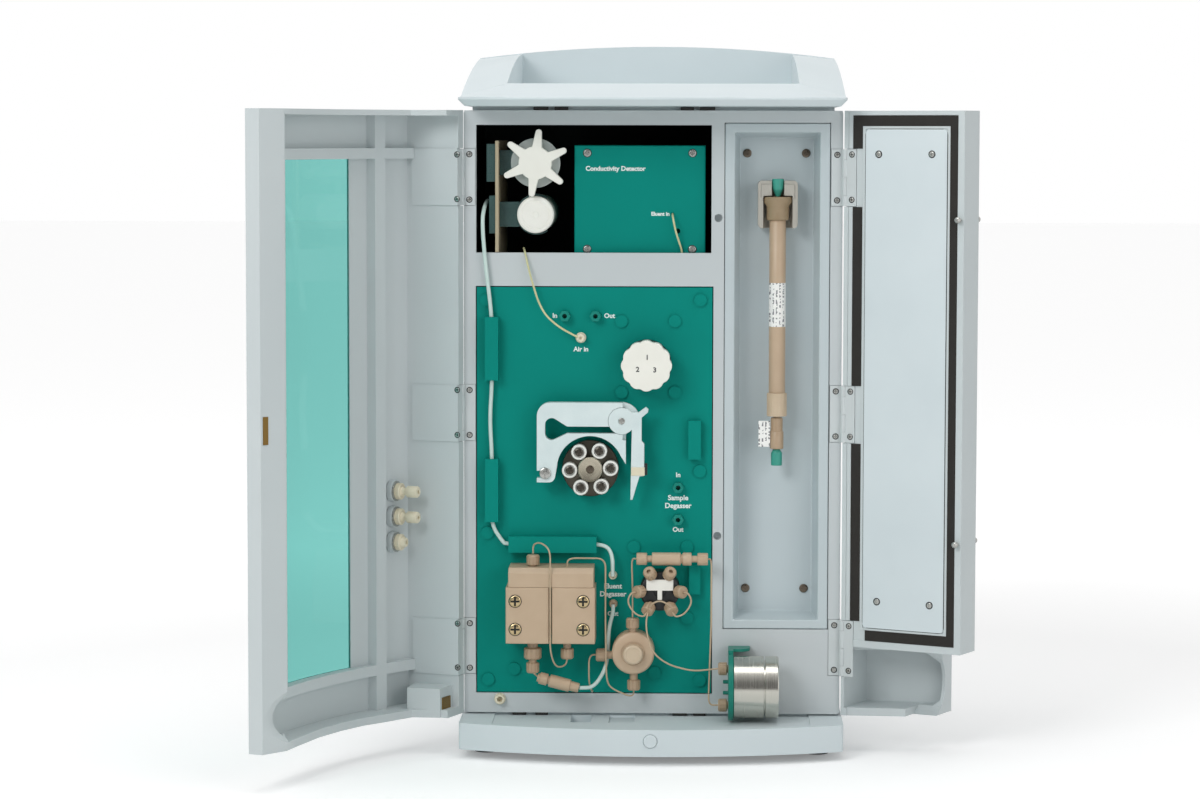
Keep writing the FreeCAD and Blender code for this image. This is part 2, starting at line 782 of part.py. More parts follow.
def pump_head():
    x, z = pump_corner()
    half = (pump_width - pump_split) / 2
    front = -pump_depth
    solids = []
    for start in (x, x + half + pump_split):
        block = box((start, front, z), (start + half, 0, z + pump_height))
        edges = [edge for edge in block.Edges
                 if edge.BoundBox.YLength < 0.01 and abs(edge.BoundBox.YMax - front) < 0.01]
        solids.append(block.makeChamfer(0.8, edges))
    low = z + pump_height
    top = prism([(x + 2.5, front, low), (x + 2.5, front, low + pump_top_height - pump_top_chamfer),
                 (x + 2.5, front + pump_top_chamfer, low + pump_top_height),
                 (x + 2.5, 0, low + pump_top_height), (x + 2.5, 0, low)], (pump_width - 4.0, 0, 0))
    return group(solids + [top])


def pump_screws():
    x, z = pump_corner()
    screws = []
    for dx in (9.1, pump_width - 11.3):
        for dz in (13.9, 40.8):
            screws.append(rod((x + dx, -pump_depth - 1.6, z + dz), (0, 1, 0), pump_screw_radius, 1.6))
    return screws


def purge_centre():
    return panel_left + purge_at[0] * panel_spread, panel_bottom + purge_at[1]


def purge_valve():
    x, z = purge_centre()
    body = rod((x, -purge_depth, z), (0, 1, 0), purge_radius, purge_depth)
    rims = [edge for edge in body.Edges if edge.BoundBox.YLength < 0.01 and edge.BoundBox.YMax < -1]
    body = body.makeChamfer(2.2, rims)
    spindle = rod((x, -purge_depth - purge_knob_height + 3, z), (0, 1, 0), 3.0, purge_knob_height)
    return joined([body, spindle])


def purge_knob():
    x, z = purge_centre()
    back = -purge_depth - running_gap
    body = rod((x, back - purge_knob_height, z), (0, 1, 0), purge_knob_radius, purge_knob_height)
    rims = [edge for edge in body.Edges if edge.BoundBox.YLength < 0.01 and edge.BoundBox.YMax < back - 1]
    body = body.makeChamfer(1.0, rims)
    bore = rod((x, back - purge_knob_height + 3 - 0.3, z), (0, 1, 0), 3.0 + hinge_running_gap, purge_knob_height)
    return body.cut(bore)


def valve_centre():
    return panel_left + valve_at[0] * panel_spread, panel_bottom + valve_at[1]


valve_nut_turns = (0, 62, 118, 180, 237, 303)
valve_nut_ring = 15.5


def valve_nut_places():
    x, z = valve_centre()
    places = []
    for turn in valve_nut_turns:
        direction = (math.cos(math.radians(turn)), math.sin(math.radians(turn)))
        places.append((x + valve_nut_ring * direction[0], z + valve_nut_ring * direction[1], direction))
    return places


def injection_valve():
    x, z = valve_centre()
    body = rod((x, -valve_depth, z), (0, 1, 0), valve_radius, valve_depth)
    rims = [edge for edge in body.Edges if edge.BoundBox.YLength < 0.01 and edge.BoundBox.YMax < -1]
    body = body.makeChamfer(2.0, rims)
    front = -valve_depth - 2.4
    bar = box((x - 12.9, front, z + 0.8), (x + 12.9, -valve_depth, z + 11.2))
    stem = box((x - 2.6, front, z - 8.5), (x + 2.6, -valve_depth, z + 1))
    return group([body, joined([bar, stem])])


def fitting(place, axis, nose, length, radius=nut_radius):
    direction = Vector(*axis)
    stem = Part.makeCylinder(radius * 0.66, nose + 1, Vector(*place), direction)
    body = hexagon(tuple(Vector(*place) + direction * nose), axis, radius, length)
    return joined([stem, body])


def valve_nuts():
    nuts = []
    valve = injection_valve()
    for x, z, (dx, dz) in valve_nut_places():
        tilt = Vector(dx * 0.6, -0.8, dz * 0.6)
        nut = fitting((x, -valve_depth + 1, z), tuple(tilt), 3.0, valve_nut_length, valve_nut_radius)
        nuts.append(nut.cut(valve))
    return nuts


def pump_fittings():
    x, z = pump_corner()
    top = z + pump_height + pump_top_height
    low = z - 6.0 - nut_length - 1.0
    return [fitting((x + 25.3, -24, top), (0, 0, 1), 1.0, nut_length),
            fitting((x + 58.0, -24, z), (0, 0, -1), 6.5, nut_length),
            fitting((x + 25.0, -24, z), (0, 0, -1), 6.0, nut_length + 1.0, 8.4),
            fitting((x + 25.0, -24, low), (0, 0, -1), 3.2, nut_length)]


def purge_fittings():
    x, z = purge_centre()
    return [fitting((x - purge_radius, -18, z - 2.6), (-1, 0, 0), 5.3, nut_length),
            fitting((x - 0.6, -18, z + purge_radius), (0, 0, 1), 3.0, nut_length),
            fitting((x + 0.6, -18, z - purge_radius), (0, 0, -1), 6.0, nut_length)]


damper_x = column_left + 5.4


def damper_fittings():
    z = panel_bottom + damper_rise
    return [fitting((damper_x, -damper_out, z + damper_nut_rise), (-1, 0, 0), 1.1, nut_length - 1.5),
            fitting((damper_x, -damper_out, z - damper_nut_rise), (-1, 0, 0), 1.1, nut_length - 1.5)]


def eluent_fitting():
    x, z = eluent_ports()[0]
    collar = rod((x, -11.0, z), (0, 1, 0), 4.0, 11.0)
    shank = rod((x, -1.0, z), (0, 1, 0), port_radius - 1.8 - shank_gap, panel_thickness + 5)
    return joined([collar, shank])


def degasser_out_fitting():
    x, z = eluent_ports()[1]
    collar = rod((x, -9.0, z), (0, 1, 0), 4.0, 9.0)
    shank = rod((x, -1.0, z), (0, 1, 0), port_radius - 1.8 - shank_gap, panel_thickness + 5)
    return joined([collar, shank])


def air_fitting():
    x, z = air_port()
    collar = rod((x, -9.0, z), (0, 1, 0), 5.0, 9.0)
    shank = rod((x, -1.0, z), (0, 1, 0), port_radius - 1.8 - shank_gap, panel_thickness + 5)
    return joined([collar, shank])


def filter_stack(place, axis, pieces):
    direction = Vector(*axis)
    solids = []
    start = Vector(*place)
    for radius, length in pieces:
        solids.append(Part.makeCylinder(radius, length, start, direction))
        start = start + direction * (length - 0.01)
    return joined(solids)


inline_filter_z = 132.2
inline_filter_y = -22.0


def inline_filters():
    x = panel_right - 71.5
    z = panel_bottom + inline_filter_z
    across = filter_stack((x, inline_filter_y, z), (1, 0, 0),
                          [(5.9, 10.2), (3.2, 4.6), (6.2, 27.4), (4.4, 1.5), (6.2, 9.0), (3.2, 5.4), (5.9, 10.2)])
    tilt = math.radians(-14.5)
    low_x, low_z = pump_corner()
    slanted = filter_stack((low_x + 29.5, -24, low_z - 34.6), (math.cos(tilt), 0, math.sin(tilt)),
                           [(4.2, 2.0), (5.8, 8.0), (4.0, 1.8), (6.1, 20.5), (4.7, 8.8)])
    return group([across, slanted])


def tube_path(points, radii):
    corners = [Vector(*point) for point in points]
    edges = []
    last = corners[0]
    for index in range(1, len(corners) - 1):
        before = corners[index - 1] - corners[index]
        after = corners[index + 1] - corners[index]
        before.normalize()
        after.normalize()
        half = before.getAngle(after) / 2
        reach = radii[index - 1] / math.tan(half)
        start = corners[index] + before * reach
        end = corners[index] + after * reach
        bisector = before + after
        bisector.normalize()
        middle = corners[index] + bisector * (radii[index - 1] / math.sin(half) - radii[index - 1])
        if (start - last).Length > 0.001:
            edges.append(Part.LineSegment(last, start).toShape())
        edges.append(Part.Arc(start, middle, end).toShape())
        last = end
    edges.append(Part.LineSegment(last, corners[-1]).toShape())
    return Part.Wire(edges)


def tube(points, radii, radius):
    path = tube_path(points, radii)
    start = Vector(*points[0])
    direction = Vector(*points[1]) - start
    direction.normalize()
    side = direction.cross(Vector(0.31, 0.87, 0.22))
    side.normalize()
    up = direction.cross(side)
    corners = []
    for step in range(6):
        turn = math.radians(60 * step)
        corners.append(start + side * (radius * math.cos(turn)) + up * (radius * math.sin(turn)))
    profile = Part.makePolygon(corners + [corners[0]])
    return path.makePipeShell([profile], True, False)


def capillaries():
    px, pz = pump_corner()
    top = pz + pump_height + pump_top_height
    split = px + pump_width / 2
    vx, vz = valve_centre()
    ux, uz = purge_centre()
    gx = panel_right - 71.5
    gz = panel_bottom + inline_filter_z
    dz = panel_bottom + damper_rise
    over = -pump_depth - 1.2
    runs = []
    loop = [(px + 25.3, -24, top + 12), (px + 25.3, -24, top + 21), (px + 33, -33, top + 24),
            (split, over, top + 18), (split, over, pz - 8),
            (split + 5, -34, pz - 24), (px + 57.5, -24, pz - 23), (px + 58.0, -24, pz - 11)]
    runs.append(tube(loop, [6, 5, 6, 10, 7, 6], capillary_radius))
    feed = [(px + 58, -26, top - 2), (px + 58, -26, top + 8), (px + 94.5, -26, top + 8),
            (px + 94.5, -26, pz + 20), (px + 95.5, -26, pz - 35), (px + 99, -22, pz - 45),
            (ux + 0.6, -18, uz - 44), (ux + 0.6, -18, uz - purge_radius - 12.5)]
    runs.append(tube(feed, [5, 5, 40, 8, 5, 4], capillary_radius))
    inlet = [(px + 25, -24, pz - 24.5), (px + 25, -24, pz - 30), (px + 30.2, -24, pz - 34.2)]
    runs.append(tube(inlet, [3], capillary_radius))
    side = [(ux - purge_radius - 12.6, -18, uz - 2.6), (ux - purge_radius - 22, -18, uz - 2.6),
            (ux - purge_radius - 22, -18, uz - 30), (ux - purge_radius - 19, -12, uz - 40), (ux - purge_radius - 19, 0, uz - 40)]
    runs.append(tube(side, [4, 6, 3], capillary_radius))
    rise = [(ux - 0.6, -18, uz + purge_radius + 12.5), (ux - 0.6, -18, uz + 60),
            (ux - 1.6, -20, gz), (gx, inline_filter_y, gz)]
    runs.append(tube(rise, [30, 5], capillary_radius))
    drop = [(gx + 68.0, inline_filter_y, gz), (gx + 71.5, inline_filter_y, gz), (gx + 71.5, -26, dz + 60),
            (gx + 69.0, -damper_out, dz - damper_nut_rise), (damper_x - 9.8, -damper_out, dz - damper_nut_rise)]
    runs.append(tube(drop, [2.5, 30, 5], capillary_radius))
    for side in (-1, 1):
        loop = [(vx + side * 22.4, -30.2, vz), (vx + side * 27.5, -34.4, vz), (vx + side * 31, -35, vz - 9),
                (vx + side * 24, -35, vz - 20), (vx + side * 15, -34.4, vz - 23.5), (vx + side * 12.0, -30.2, vz - 18.5)]
        runs.append(tube(loop, [4, 5, 5, 3], capillary_radius))
    inner = [(vx - 11.0, -29, vz - 17), (vx - 9, -37, vz - 11), (vx, -38, vz - 6.5), (vx + 9, -37, vz - 11),
             (vx + 11.0, -29, vz - 17)]
    runs.append(tube(inner, [3, 12, 3], capillary_radius))
    down = [(vx - 10.8, -29.4, vz - 18.2), (vx - 13, -36, vz - 27), (vx - 12, -37, vz - 40), (vx - 6, -37, vz - 58),
            (vx + 9, -36, vz - 69), (vx + 32, -34, vz - 75), (damper_x - 9.8, -damper_out, dz + damper_nut_rise)]
    runs.append(tube(down, [5, 15, 25, 24, 40], capillary_radius))
    carriers = [inline_filters(), pump_head(), purge_valve(), injection_valve(), damper_bracket()]
    blocks = group(carriers + pump_fittings() + purge_fittings() + damper_fittings() + valve_nuts())
    return group([run.cut(blocks) for run in runs])


def detector_tube_points():
    x = detector_left() + 93.9 * panel_spread
    z = bay_top - 84.7
    return [(x, 20.0, z), (x, 3, z), (x + 2.5, 2.0, z - 14), (x + 6.5, 6.5, z - 27),
            (x + 9.0, 10.0, bay_bottom + 3), (x + 9.5, 10.0, bay_bottom - 8)]


def supply_tubes():
    left = panel_left + 8.4 + channel_width / 2
    y = -channel_height / 2
    first_top = panel_top - 28.2
    second_top = panel_top - 164.2
    start_z = bay_bottom + 46
    runs = []
    fall = [(left - 6.5, 30, start_z + 3), (left - 7.5, 2, start_z - 2), (left - 9.3, -5, start_z - 16),
            (left - 6.5, y, start_z - 54), (left, y, first_top + 2), (left, y, first_top - 30)]
    runs.append(tube(fall, [8, 16, 60, 60], supply_tube_radius))
    middle = [(left, y, first_top - channel_length + 20), (left, y, first_top - channel_length - 5),
              (left - 2.0, y, (first_top - channel_length + second_top) / 2), (left, y, second_top + 5),
              (left, y, second_top - 20)]
    runs.append(tube(middle, [60, 80, 60], supply_tube_radius))
    low, high = channel_boxes()[2]
    z = (low[2] + high[2]) / 2
    turn = [(left, y, second_top - channel_length + 18), (left, y, second_top - channel_length - 4),
            (low[0] - 6, y, z + 2.5), (low[0] - 3, y, z), (low[0] + 18, y, z)]
    runs.append(tube(turn, [14, 3, 3], supply_tube_radius))
    ex, ez = eluent_ports()[0]
    end = [(high[0] - 18, y, z), (high[0] + 9, y, z), (ex, -13, z - 10), (ex, -12, ez)]
    runs.append(tube(end, [12, 9], supply_tube_radius))
    ax, az = air_port()
    air = [(panel_left + 44.5, 9, bay_bottom + 4.0), (panel_left + 46, -2, bay_bottom + 1.5),
           (panel_left + 51.5, -8, bay_bottom - 22), (panel_left + 62, -10, panel_top - 22),
           (ax - 22, -11, az + 11), (ax - 3.2, -10.0, az + 1)]
    runs.append(tube(air, [4, 25, 40, 30], air_tube_radius))
    runs.append(tube(detector_tube_points(), [2, 6, 14, 6], air_tube_radius))
    gx, gz = eluent_ports()[1]
    px, pz = pump_corner()
    waste = [(px + 69.6, -24, pz - 44.6), (px + 84, -22, pz - 44.6), (px + 96.6, -10, pz - 24), (px + 96.9, -9, pz + 10),
             (gx, -8, gz - 8), (gx, -8, gz)]
    runs.append(tube(waste, [14, 12, 30, 6], supply_tube_radius))
    blocks = group([eluent_fitting(), degasser_out_fitting(), air_fitting(), inline_filters()])
    return group([run.cut(blocks) for run in runs])


def damper():
    z = panel_bottom + damper_rise
    x = damper_x + damper_flange
    body = rod((x, -damper_out, z), (1, 0, 0), damper_radius, damper_body_length)
    neck = rod((x + damper_body_length - 1, -damper_out, z), (1, 0, 0), damper_radius - 3, damper_groove + 2)
    ring = rod((x + damper_body_length + damper_groove, -damper_out, z), (1, 0, 0), damper_radius, damper_ring_length)
    whole = joined([body, neck, ring])
    end = x + damper_body_length + damper_groove + damper_ring_length
    rims = [edge for edge in whole.Edges if edge.BoundBox.XLength < 0.01 and abs(edge.BoundBox.XMax - end) < 0.01]
    return whole.makeChamfer(1.2, rims)


def damper_bracket():
    z = panel_bottom + damper_rise
    x = damper_x
    flange = rod((x, -damper_out, z), (1, 0, 0), damper_radius + 2.2, damper_flange)
    flange = flange.cut(box((x - 1, 0, z - damper_radius), (x + damper_flange + 1, 4, z + damper_radius)))
    ear = box((x, -damper_out, z + damper_radius - 8), (x + damper_flange, 0, z + damper_radius + 5.5))
    web = box((x, -damper_out, z - 14), (x + damper_flange, 0, z + 14))
    shelf = box((x, -22.0, z + damper_radius + 2.6), (x + 21, 0, z + damper_radius + 5.5))
    corner = [edge for edge in shelf.Edges if edge.BoundBox.ZLength > 2 and edge.BoundBox.XMin > x + 20
              and edge.BoundBox.YMax < -20]
    shelf = shelf.makeFillet(12.0, corner)
    screws = []
    for dz in (-4.0, 3.5):
        screws.append(rod((x - 5.0, -damper_out, z + dz * 1.4), (1, 0, 0), 1.8, 5.5))
    return joined([flange, ear, web, shelf] + screws)


def column_bay():
    rim = box((column_left + panel_gap / 2, 0.6, column_bottom + panel_gap / 2),
              (column_right - panel_gap / 2, frame_thickness - 0.5, column_top - panel_gap / 2))
    left = column_left + column_rim_side
    right = column_right - column_rim_side
    low = column_bottom + column_rim_end
    high = column_top - column_rim_end
    outer = box((left - sheet, frame_thickness - 1, low - sheet),
                (right + sheet, column_bay_depth + sheet, high + sheet))
    front = Part.makePolygon([Vector(left, 0, low), Vector(right, 0, low), Vector(right, 0, high),
                              Vector(left, 0, high), Vector(left, 0, low)])
    inset = column_draft
    back = Part.makePolygon([Vector(left + inset, column_bay_depth, low + inset),
                             Vector(right - inset, column_bay_depth, low + inset),
                             Vector(right - inset, column_bay_depth, high - inset),
                             Vector(left + inset, column_bay_depth, high - inset),
                             Vector(left + inset, column_bay_depth, low + inset)])
    hollow = Part.makeLoft([front, back], True, True)
    return joined([rim, outer]).cut(hollow)


def column_centre():
    return column_left + 51.2, column_bay_depth - 20.0


def column_screw_places():
    low = column_bottom + 35.5
    high = column_top - 29.0
    return [(column_left + 22.0, low), (column_right - 22.5, low), (column_left + 22.0, high),
            (column_right - 22.5, high)]


def column_holder():
    x, y = column_centre()
    high = column_top - 55.0
    low = high - 45.5
    body = box((x - 19.0, y - 4, low), (x + 19.0, column_bay_depth, high))
    uprights = [edge for edge in body.Edges if edge.BoundBox.YLength > 10]
    body = body.makeFillet(4.0, uprights)
    shelf = box((x - 15.5, y - 6, high - 17), (x + 15.5, y + 14, high - 3.5))
    groove = rod((x, y, low - 1), (0, 0, 1), column_radius + 6.0, 32)
    mouth = box((x - column_radius - 6.0, y - 20, low - 1), (x + column_radius + 6.0, y, low + 31))
    slot = rod((x, y, high - 18), (0, 0, 1), 5.9, 20)
    slot_mouth = box((x - 5.9, y - 20, high - 18), (x + 5.9, y, high + 2))
    return joined([body, shelf]).cut(group([groove, mouth, slot, slot_mouth]))


def column():
    x, y = column_centre()
    top = column_top - 70.4
    pieces = [(10.7, 13.0), (column_radius, 166.0), (9.6, 22.4), (3.2, 1.4), (5.8, 13.2), (6.6, 16.6)]
    solids = [rod((x, y, top - 5.6), (0, 0, 1), 13.3, 5.6), cone((x, y, top - 9.1), (0, 0, 1), 10.7, 13.3, 3.51)]
    z = top - 9.0
    for radius, length in pieces:
        solids.append(rod((x, y, z - length), (0, 0, 1), radius, length))
        z = z - length + 0.01
    return joined(solids)


def column_stoppers():
    x, y = column_centre()
    top = column_top - 70.4 + 0.1
    upper = joined([cone((x, y, top), (0, 0, 1), 1.9, 5.6, 8.0), rod((x, y, top + 8), (0, 0, 1), 5.6, 9.0)])
    bottom = column_top - 70.4 - 241.6 - 0.1
    lower = joined([cone((x, y, bottom), (0, 0, -1), 3.0, 5.4, 4.0), rod((x, y, bottom - 16), (0, 0, 1), 5.4, 12.0)])
    return group([upper, lower])


def column_chip():
    x, y = column_centre()
    bottom = column_top - 70.4 - 241.6
    return box((x - 17.5, y - 4.0, bottom + 2.0), (x - 6.3, y - 2.4, bottom + 27.0))


def bay_liner():
    left = bay_left - 3
    right = bay_right + 3
    low = bay_bottom - bay_hidden_rim - sheet
    high = bay_top + 4
    y = frame_thickness
    outer = box((left, y, low), (right, y + bay_depth, high))
    inner = box((left + sheet, y - 1, low + sheet), (right - sheet, y + bay_depth - sheet, high - sheet))
    return outer.cut(inner)


def detector_left():
    return panel_left + detector_offset * panel_spread


def detector_box():
    return panel_right - detector_margin - detector_left(), detector_depth, detector_height


def detector_module():
    width, depth, height = detector_box()
    x = detector_left()
    z = bay_top - 20.0 - height + 0.7
    body = box((x, 12.0, z), (x + width, 12.0 + depth, z + height))
    edges = [edge for edge in body.Edges if edge.BoundBox.YLength < 0.01 and edge.BoundBox.YMax < 13]
    body = body.makeFillet(1.6, edges)
    hole = rod((x + 93.9 * panel_spread, 11, bay_top - 84.7), (0, 1, 0), air_tube_radius + 0.3, 12)
    spare = rod((x + 98.8 * panel_spread, 11, bay_top - 101.0), (0, 1, 0), 2.6, 12)
    foot = box((x + 20, 20.0, bay_bottom - bay_hidden_rim), (x + width - 20, depth, z + 1))
    return joined([body, foot]).cut(group([hole, spare]))


def bracket_plate():
    x = bracket_left()
    y = frame_thickness + bay_depth - sheet
    return box((x, 0.8, bay_bottom + 0.3), (x + bracket_thickness, y, bay_top - 15.0)).fuse(
        box((x, frame_thickness + 4, bay_bottom - bay_hidden_rim), (x + bracket_thickness, y, bay_bottom + 1))).removeSplitter()


def cartridge_x():
    return panel_left + (cartridge_from_left - 0.4) * panel_spread


def bracket_left():
    return cartridge_x() - 38.5 * panel_spread


def clip(z, radius):
    x = cartridge_x()
    ring = rod((x, 16, z), (0, 1, 0), radius + clip_wall, 14.0)
    hole = rod((x, 15, z), (0, 1, 0), radius, 16.0)
    mouth_x = math.cos(math.radians(clip_opening)) * radius
    mouth = box((x + mouth_x, 15, z - radius - 5), (x + radius + 6, 31, z + radius + 5))
    plate_x = bracket_left() + bracket_thickness
    root = box((plate_x, 17, z - 12), (x - radius - clip_wall + 3.0, 29, z + 12))
    return joined([ring, root]).cut(group([hole, mouth]))


def cartridge_clips():
    high = bay_top - cartridge_high
    low = bay_top - cartridge_low
    pads = []
    for z, width in ((high, 8.4), (low, 6.0)):
        x = bracket_left()
        pads.append(box((x - width, 4, z - 18), (x, 30, z + 18)))
    return group([clip(high, cartridge_radius + 0.3), clip(low, cartridge_radius + 0.3)] + pads)


def absorber_cartridges():
    x = cartridge_x()
    high = bay_top - cartridge_high
    low = bay_top - cartridge_low
    upper = rod((x, 4.0, high), (0, 1, 0), cartridge_radius, cartridge_length)
    flange = rod((x, 1.5, high), (0, 1, 0), flange_radius, 3.0)
    lower = rod((x, 1.0, low), (0, 1, 0), cartridge_radius, cartridge_length)
    rims = [edge for edge in lower.Edges if edge.BoundBox.YLength < 0.01 and edge.BoundBox.YMax < 2]
    spindle = rod((x, -star_thickness + 4, high), (0, 1, 0), 5.0, star_thickness - 2)
    return group([joined([upper, flange, spindle]), lower.makeChamfer(1.2, rims)])


def star_cap():
    x = cartridge_x()
    z = bay_top - cartridge_high
    back = 1.5 - running_gap
    front = back - star_thickness
    solids = [rod((x, front, z), (0, 1, 0), star_core_radius, star_thickness)]
    for step in range(6):
        turn = 23.5 + 60 * step
        reach = star_tip_radius - star_arm_radius
        arm = prism([(0, front, -6.5), (reach, front, -star_arm_radius), (reach, front, star_arm_radius), (0, front, 6.5)],
                    (0, star_thickness, 0))
        tip = rod((reach, front, 0), (0, 1, 0), star_arm_radius, star_thickness)
        both = arm.fuse(tip)
        both.rotate(Vector(0, 0, 0), Vector(0, 1, 0), -turn)
        both.translate(Vector(x, 0, z))
        solids.append(both)
    bore = rod((x, front + 2 - running_gap + 0.8, z), (0, 1, 0), 5.0 + hinge_running_gap, star_thickness)
    return joined(solids).cut(bore)


def door_point(side, u, v, z):
    return (side * (hinge_x - u), -v, z)


def door_prism(side, plan, low, high):
    return prism([door_point(side, u, v, low) for u, v in plan], (0, 0, high - low))


def door_bow(x_from_centre):
    return bow_depth(x_from_centre) + 0.8


def door_body(side, width, wall, low, high, back):
    u_centre = hinge_x
    first = (wall, door_bow(u_centre - wall) - wall if wall else door_bow(u_centre))
    last_u = width - wall
    middle_u = (first[0] + last_u) / 2
    points = [(first[0], door_bow(u_centre - first[0]) - wall),
              (middle_u, door_bow(u_centre - middle_u) - wall),
              (last_u, door_bow(u_centre - last_u) - wall)]
    corners = [(first[0], back), points[0], points[1], points[2], (last_u, back)]
    place = [door_point(side, u, v, low) for u, v in corners]
    edges = [line(place[0], place[1]),
             arc(place[1], place[2], place[3]),
             line(place[3], place[4]),
             line(place[4], place[0])]
    return outline(edges, (0, 0, high - low))


def opened(side, shape):
    turn = -left_open_angle if side < 0 else right_open_angle
    shape.rotate(Vector(side * hinge_x, -hinge_axis_out, 0), Vector(0, 0, 1), turn)
    return shape


def hinge_ranges():
    ranges = []
    for level in hinge_levels:
        low = cabinet_bottom + level - hinge_height / 2
        ranges.append((low, low + hinge_height))
    return ranges


def hinge_notches(side):
    cuts = []
    reach = hinge_knuckle_radius + hinge_clear
    for low, high in hinge_ranges():
        cuts.append(rod((side * hinge_x, -hinge_axis_out, low - hinge_end_gap), (0, 0, 1), reach,
                        high - low + 2 * hinge_end_gap))
        reach_u = door_side_wall + 1.7
        cuts.append(door_prism(side, [(-1, 0), (reach_u, 0), (reach_u, door_back_gap + 1.8), (-1, door_back_gap + 1.8)],
                               low - hinge_end_gap, high + hinge_end_gap))
        if side < 0:
            cuts.append(door_prism(side, [(door_side_wall, 0), (reach_u, 0), (reach_u, leaf_depth + 0.3),
                                          (door_side_wall, leaf_depth + 0.3)], low - hinge_end_gap, high + hinge_end_gap))
    return cuts


def damper_room():
    z = panel_bottom + damper_rise
    length = damper_flange + damper_body_length + damper_groove + damper_ring_length
    return rod((damper_x - 4, -damper_out, z), (1, 0, 0), damper_radius + damper_clearance, length + 8)


def left_door():
    side = -1
    low = cabinet_bottom
    high = cabinet_top
    width = left_door_width
    skin = door_body(side, width, 0.0, low, high, door_back_gap)
    edge_v = door_bow(hinge_x - width) - door_edge_strip
    lip_u = width - door_lip_inset
    lip_v = edge_v - 10.5
    cuts = []
    room = door_body(side, width, door_wall, low + door_floor, high - door_wall - 2, -5)
    keep_side = door_prism(side, [(-1, -6), (door_side_wall, -6), (door_side_wall, 120), (-1, 120)], low - 1, high + 1)
    keep_edge = door_prism(side, [(lip_u - 3, 120), (lip_u - 3, lip_v), (lip_u, lip_v), (width + 1, edge_v - 1), (width + 1, 120)],
                           low - 1, high + 1)
    cavity_edge = door_prism(side, [(lip_u - 6, 120), (lip_u - 6, lip_v + 8), (lip_u, lip_v + 4), (width - 6, edge_v + 4),
                                    (width - 3.2, edge_v + 6), (width - 3.2, 120)], low + door_floor, high - door_wall - 2)
    cavity_edge = cavity_edge.common(room)
    cuts.append(room.cut(keep_side).cut(keep_edge))
    cuts.append(cavity_edge)
    plan = [(36.0, -6.0), (36.0, 8.0), (45.0, 34.0), (81.0, 45.0), (106.0, 54.0), (141.0, 60.0), (180.0, 62.0),
            (229.0, 58.0), (lip_u, lip_v), (width + 2, edge_v - 0.4), (width + 2, -6.0)]
    cuts.append(door_prism(side, plan, low - 1, high + 1))
    body = skin.cut(group(cuts))
    ribs = []
    wide = width + 40.0
    rib_room = door_body(side, wide, door_wall - 0.2, low + 1, high - 1, 0.0)
    inner_room = door_body(side, wide + 20, door_wall + door_rib_height, low, high, -30.0)
    inner_room = inner_room.fuse(door_prism(side, [(0, -30), (wide, -30), (wide, 40), (0, 40)], low, high))
    rib_plans = [(door_rib_u - 7, door_rib_u + 7, low + 2, high - 2)]
    for level in (high - door_rib_top - door_rib_width, low + door_rib_bottom):
        rib_plans.append((door_side_wall - 1, width - 4, level, level + door_rib_width))
    for start, end, bottom, top in rib_plans:
        strip = door_prism(side, [(start, 30), (end, 30), (end, 120), (start, 120)], bottom, top)
        ribs.append(strip.common(rib_room).cut(inner_room))
    box_u, box_v, box_z = catch_box_size
    catch = door_prism(side, [(door_side_wall - 1, 8.0), (door_side_wall - 1 + box_u - 6, 8.0),
                              (door_side_wall - 1 + box_u, 40.0), (door_side_wall - 1, 48.0)],
                       low + 0.5, low + box_z)
    body = joined([body] + ribs + [catch] + bulkhead_bosses())
    window = door_prism(side, [(window_u[0], 50), (window_u[1], 50), (window_u[1], 120), (window_u[0], 120)],
                        low + door_rib_bottom + door_rib_width, high - door_rib_top - door_rib_width)
    cuts = hinge_notches(side) + [window]
    for level in bulkhead_levels:
        start = door_point(side, bulkhead_u, 20, low + level)
        cuts.append(rod(start, (0, -1, 0), bulkhead_radius, 60))
    cuts.append(door_prism(side, [(16.0, 7.0), (34.0, 7.0), (34.0, 11.2), (16.0, 11.2)], low + 6, low + 19))
    cuts.append(strike_plate(0.15))
    cuts.append(damper_room())
    return opened(side, body.cut(group(cuts)))


def left_window():
    side = -1
    low = cabinet_bottom + door_rib_bottom + door_rib_width + window_gap
    high = cabinet_top - door_rib_top - door_rib_width - window_gap
    start = window_u[0] + window_gap
    end = window_u[1] - window_gap
    outer = door_body(side, left_door_width, 0.3, low, high, 0.0)
    inner = door_body(side, left_door_width, 0.3 + window_thickness, low, high, -1.0)
    strip = door_prism(side, [(start, 40), (end, 40), (end, 120), (start, 120)], low, high)
    return opened(side, outer.cut(inner).common(strip))


def door_latch():
    side = -1
    low = cabinet_bottom
    insert = door_prism(side, [(16.2, 7.2), (33.8, 7.2), (33.8, 11.0), (16.2, 11.0)], low + 6.2, low + 18.8)
    return opened(side, group([insert, strike_plate(0.0)]))


def strike_plate(gap):
    edge_v = door_bow(hinge_x - left_door_width) - door_edge_strip
    along = Vector(door_lip_inset + 1.0, 9.5, 0)
    length = along.Length
    along.normalize()
    across = Vector(-along.y, along.x, 0)
    end = Vector(left_door_width + 1.0, edge_v - 1.0, 0)
    inner = end - along * (length * 0.32 + gap)
    outer = end - along * (length * 0.12 - gap)
    proud = across * -0.4
    deep = across * (1.0 + gap)
    corners = [inner + proud, outer + proud, outer + deep, inner + deep]
    return door_prism(-1, [(corner.x, corner.y) for corner in corners], cabinet_bottom + strike_level - gap,
                      cabinet_bottom + strike_level + strike_height + gap)


def bulkhead_seat():
    return door_bow(hinge_x - bulkhead_u) - door_wall - bulkhead_boss


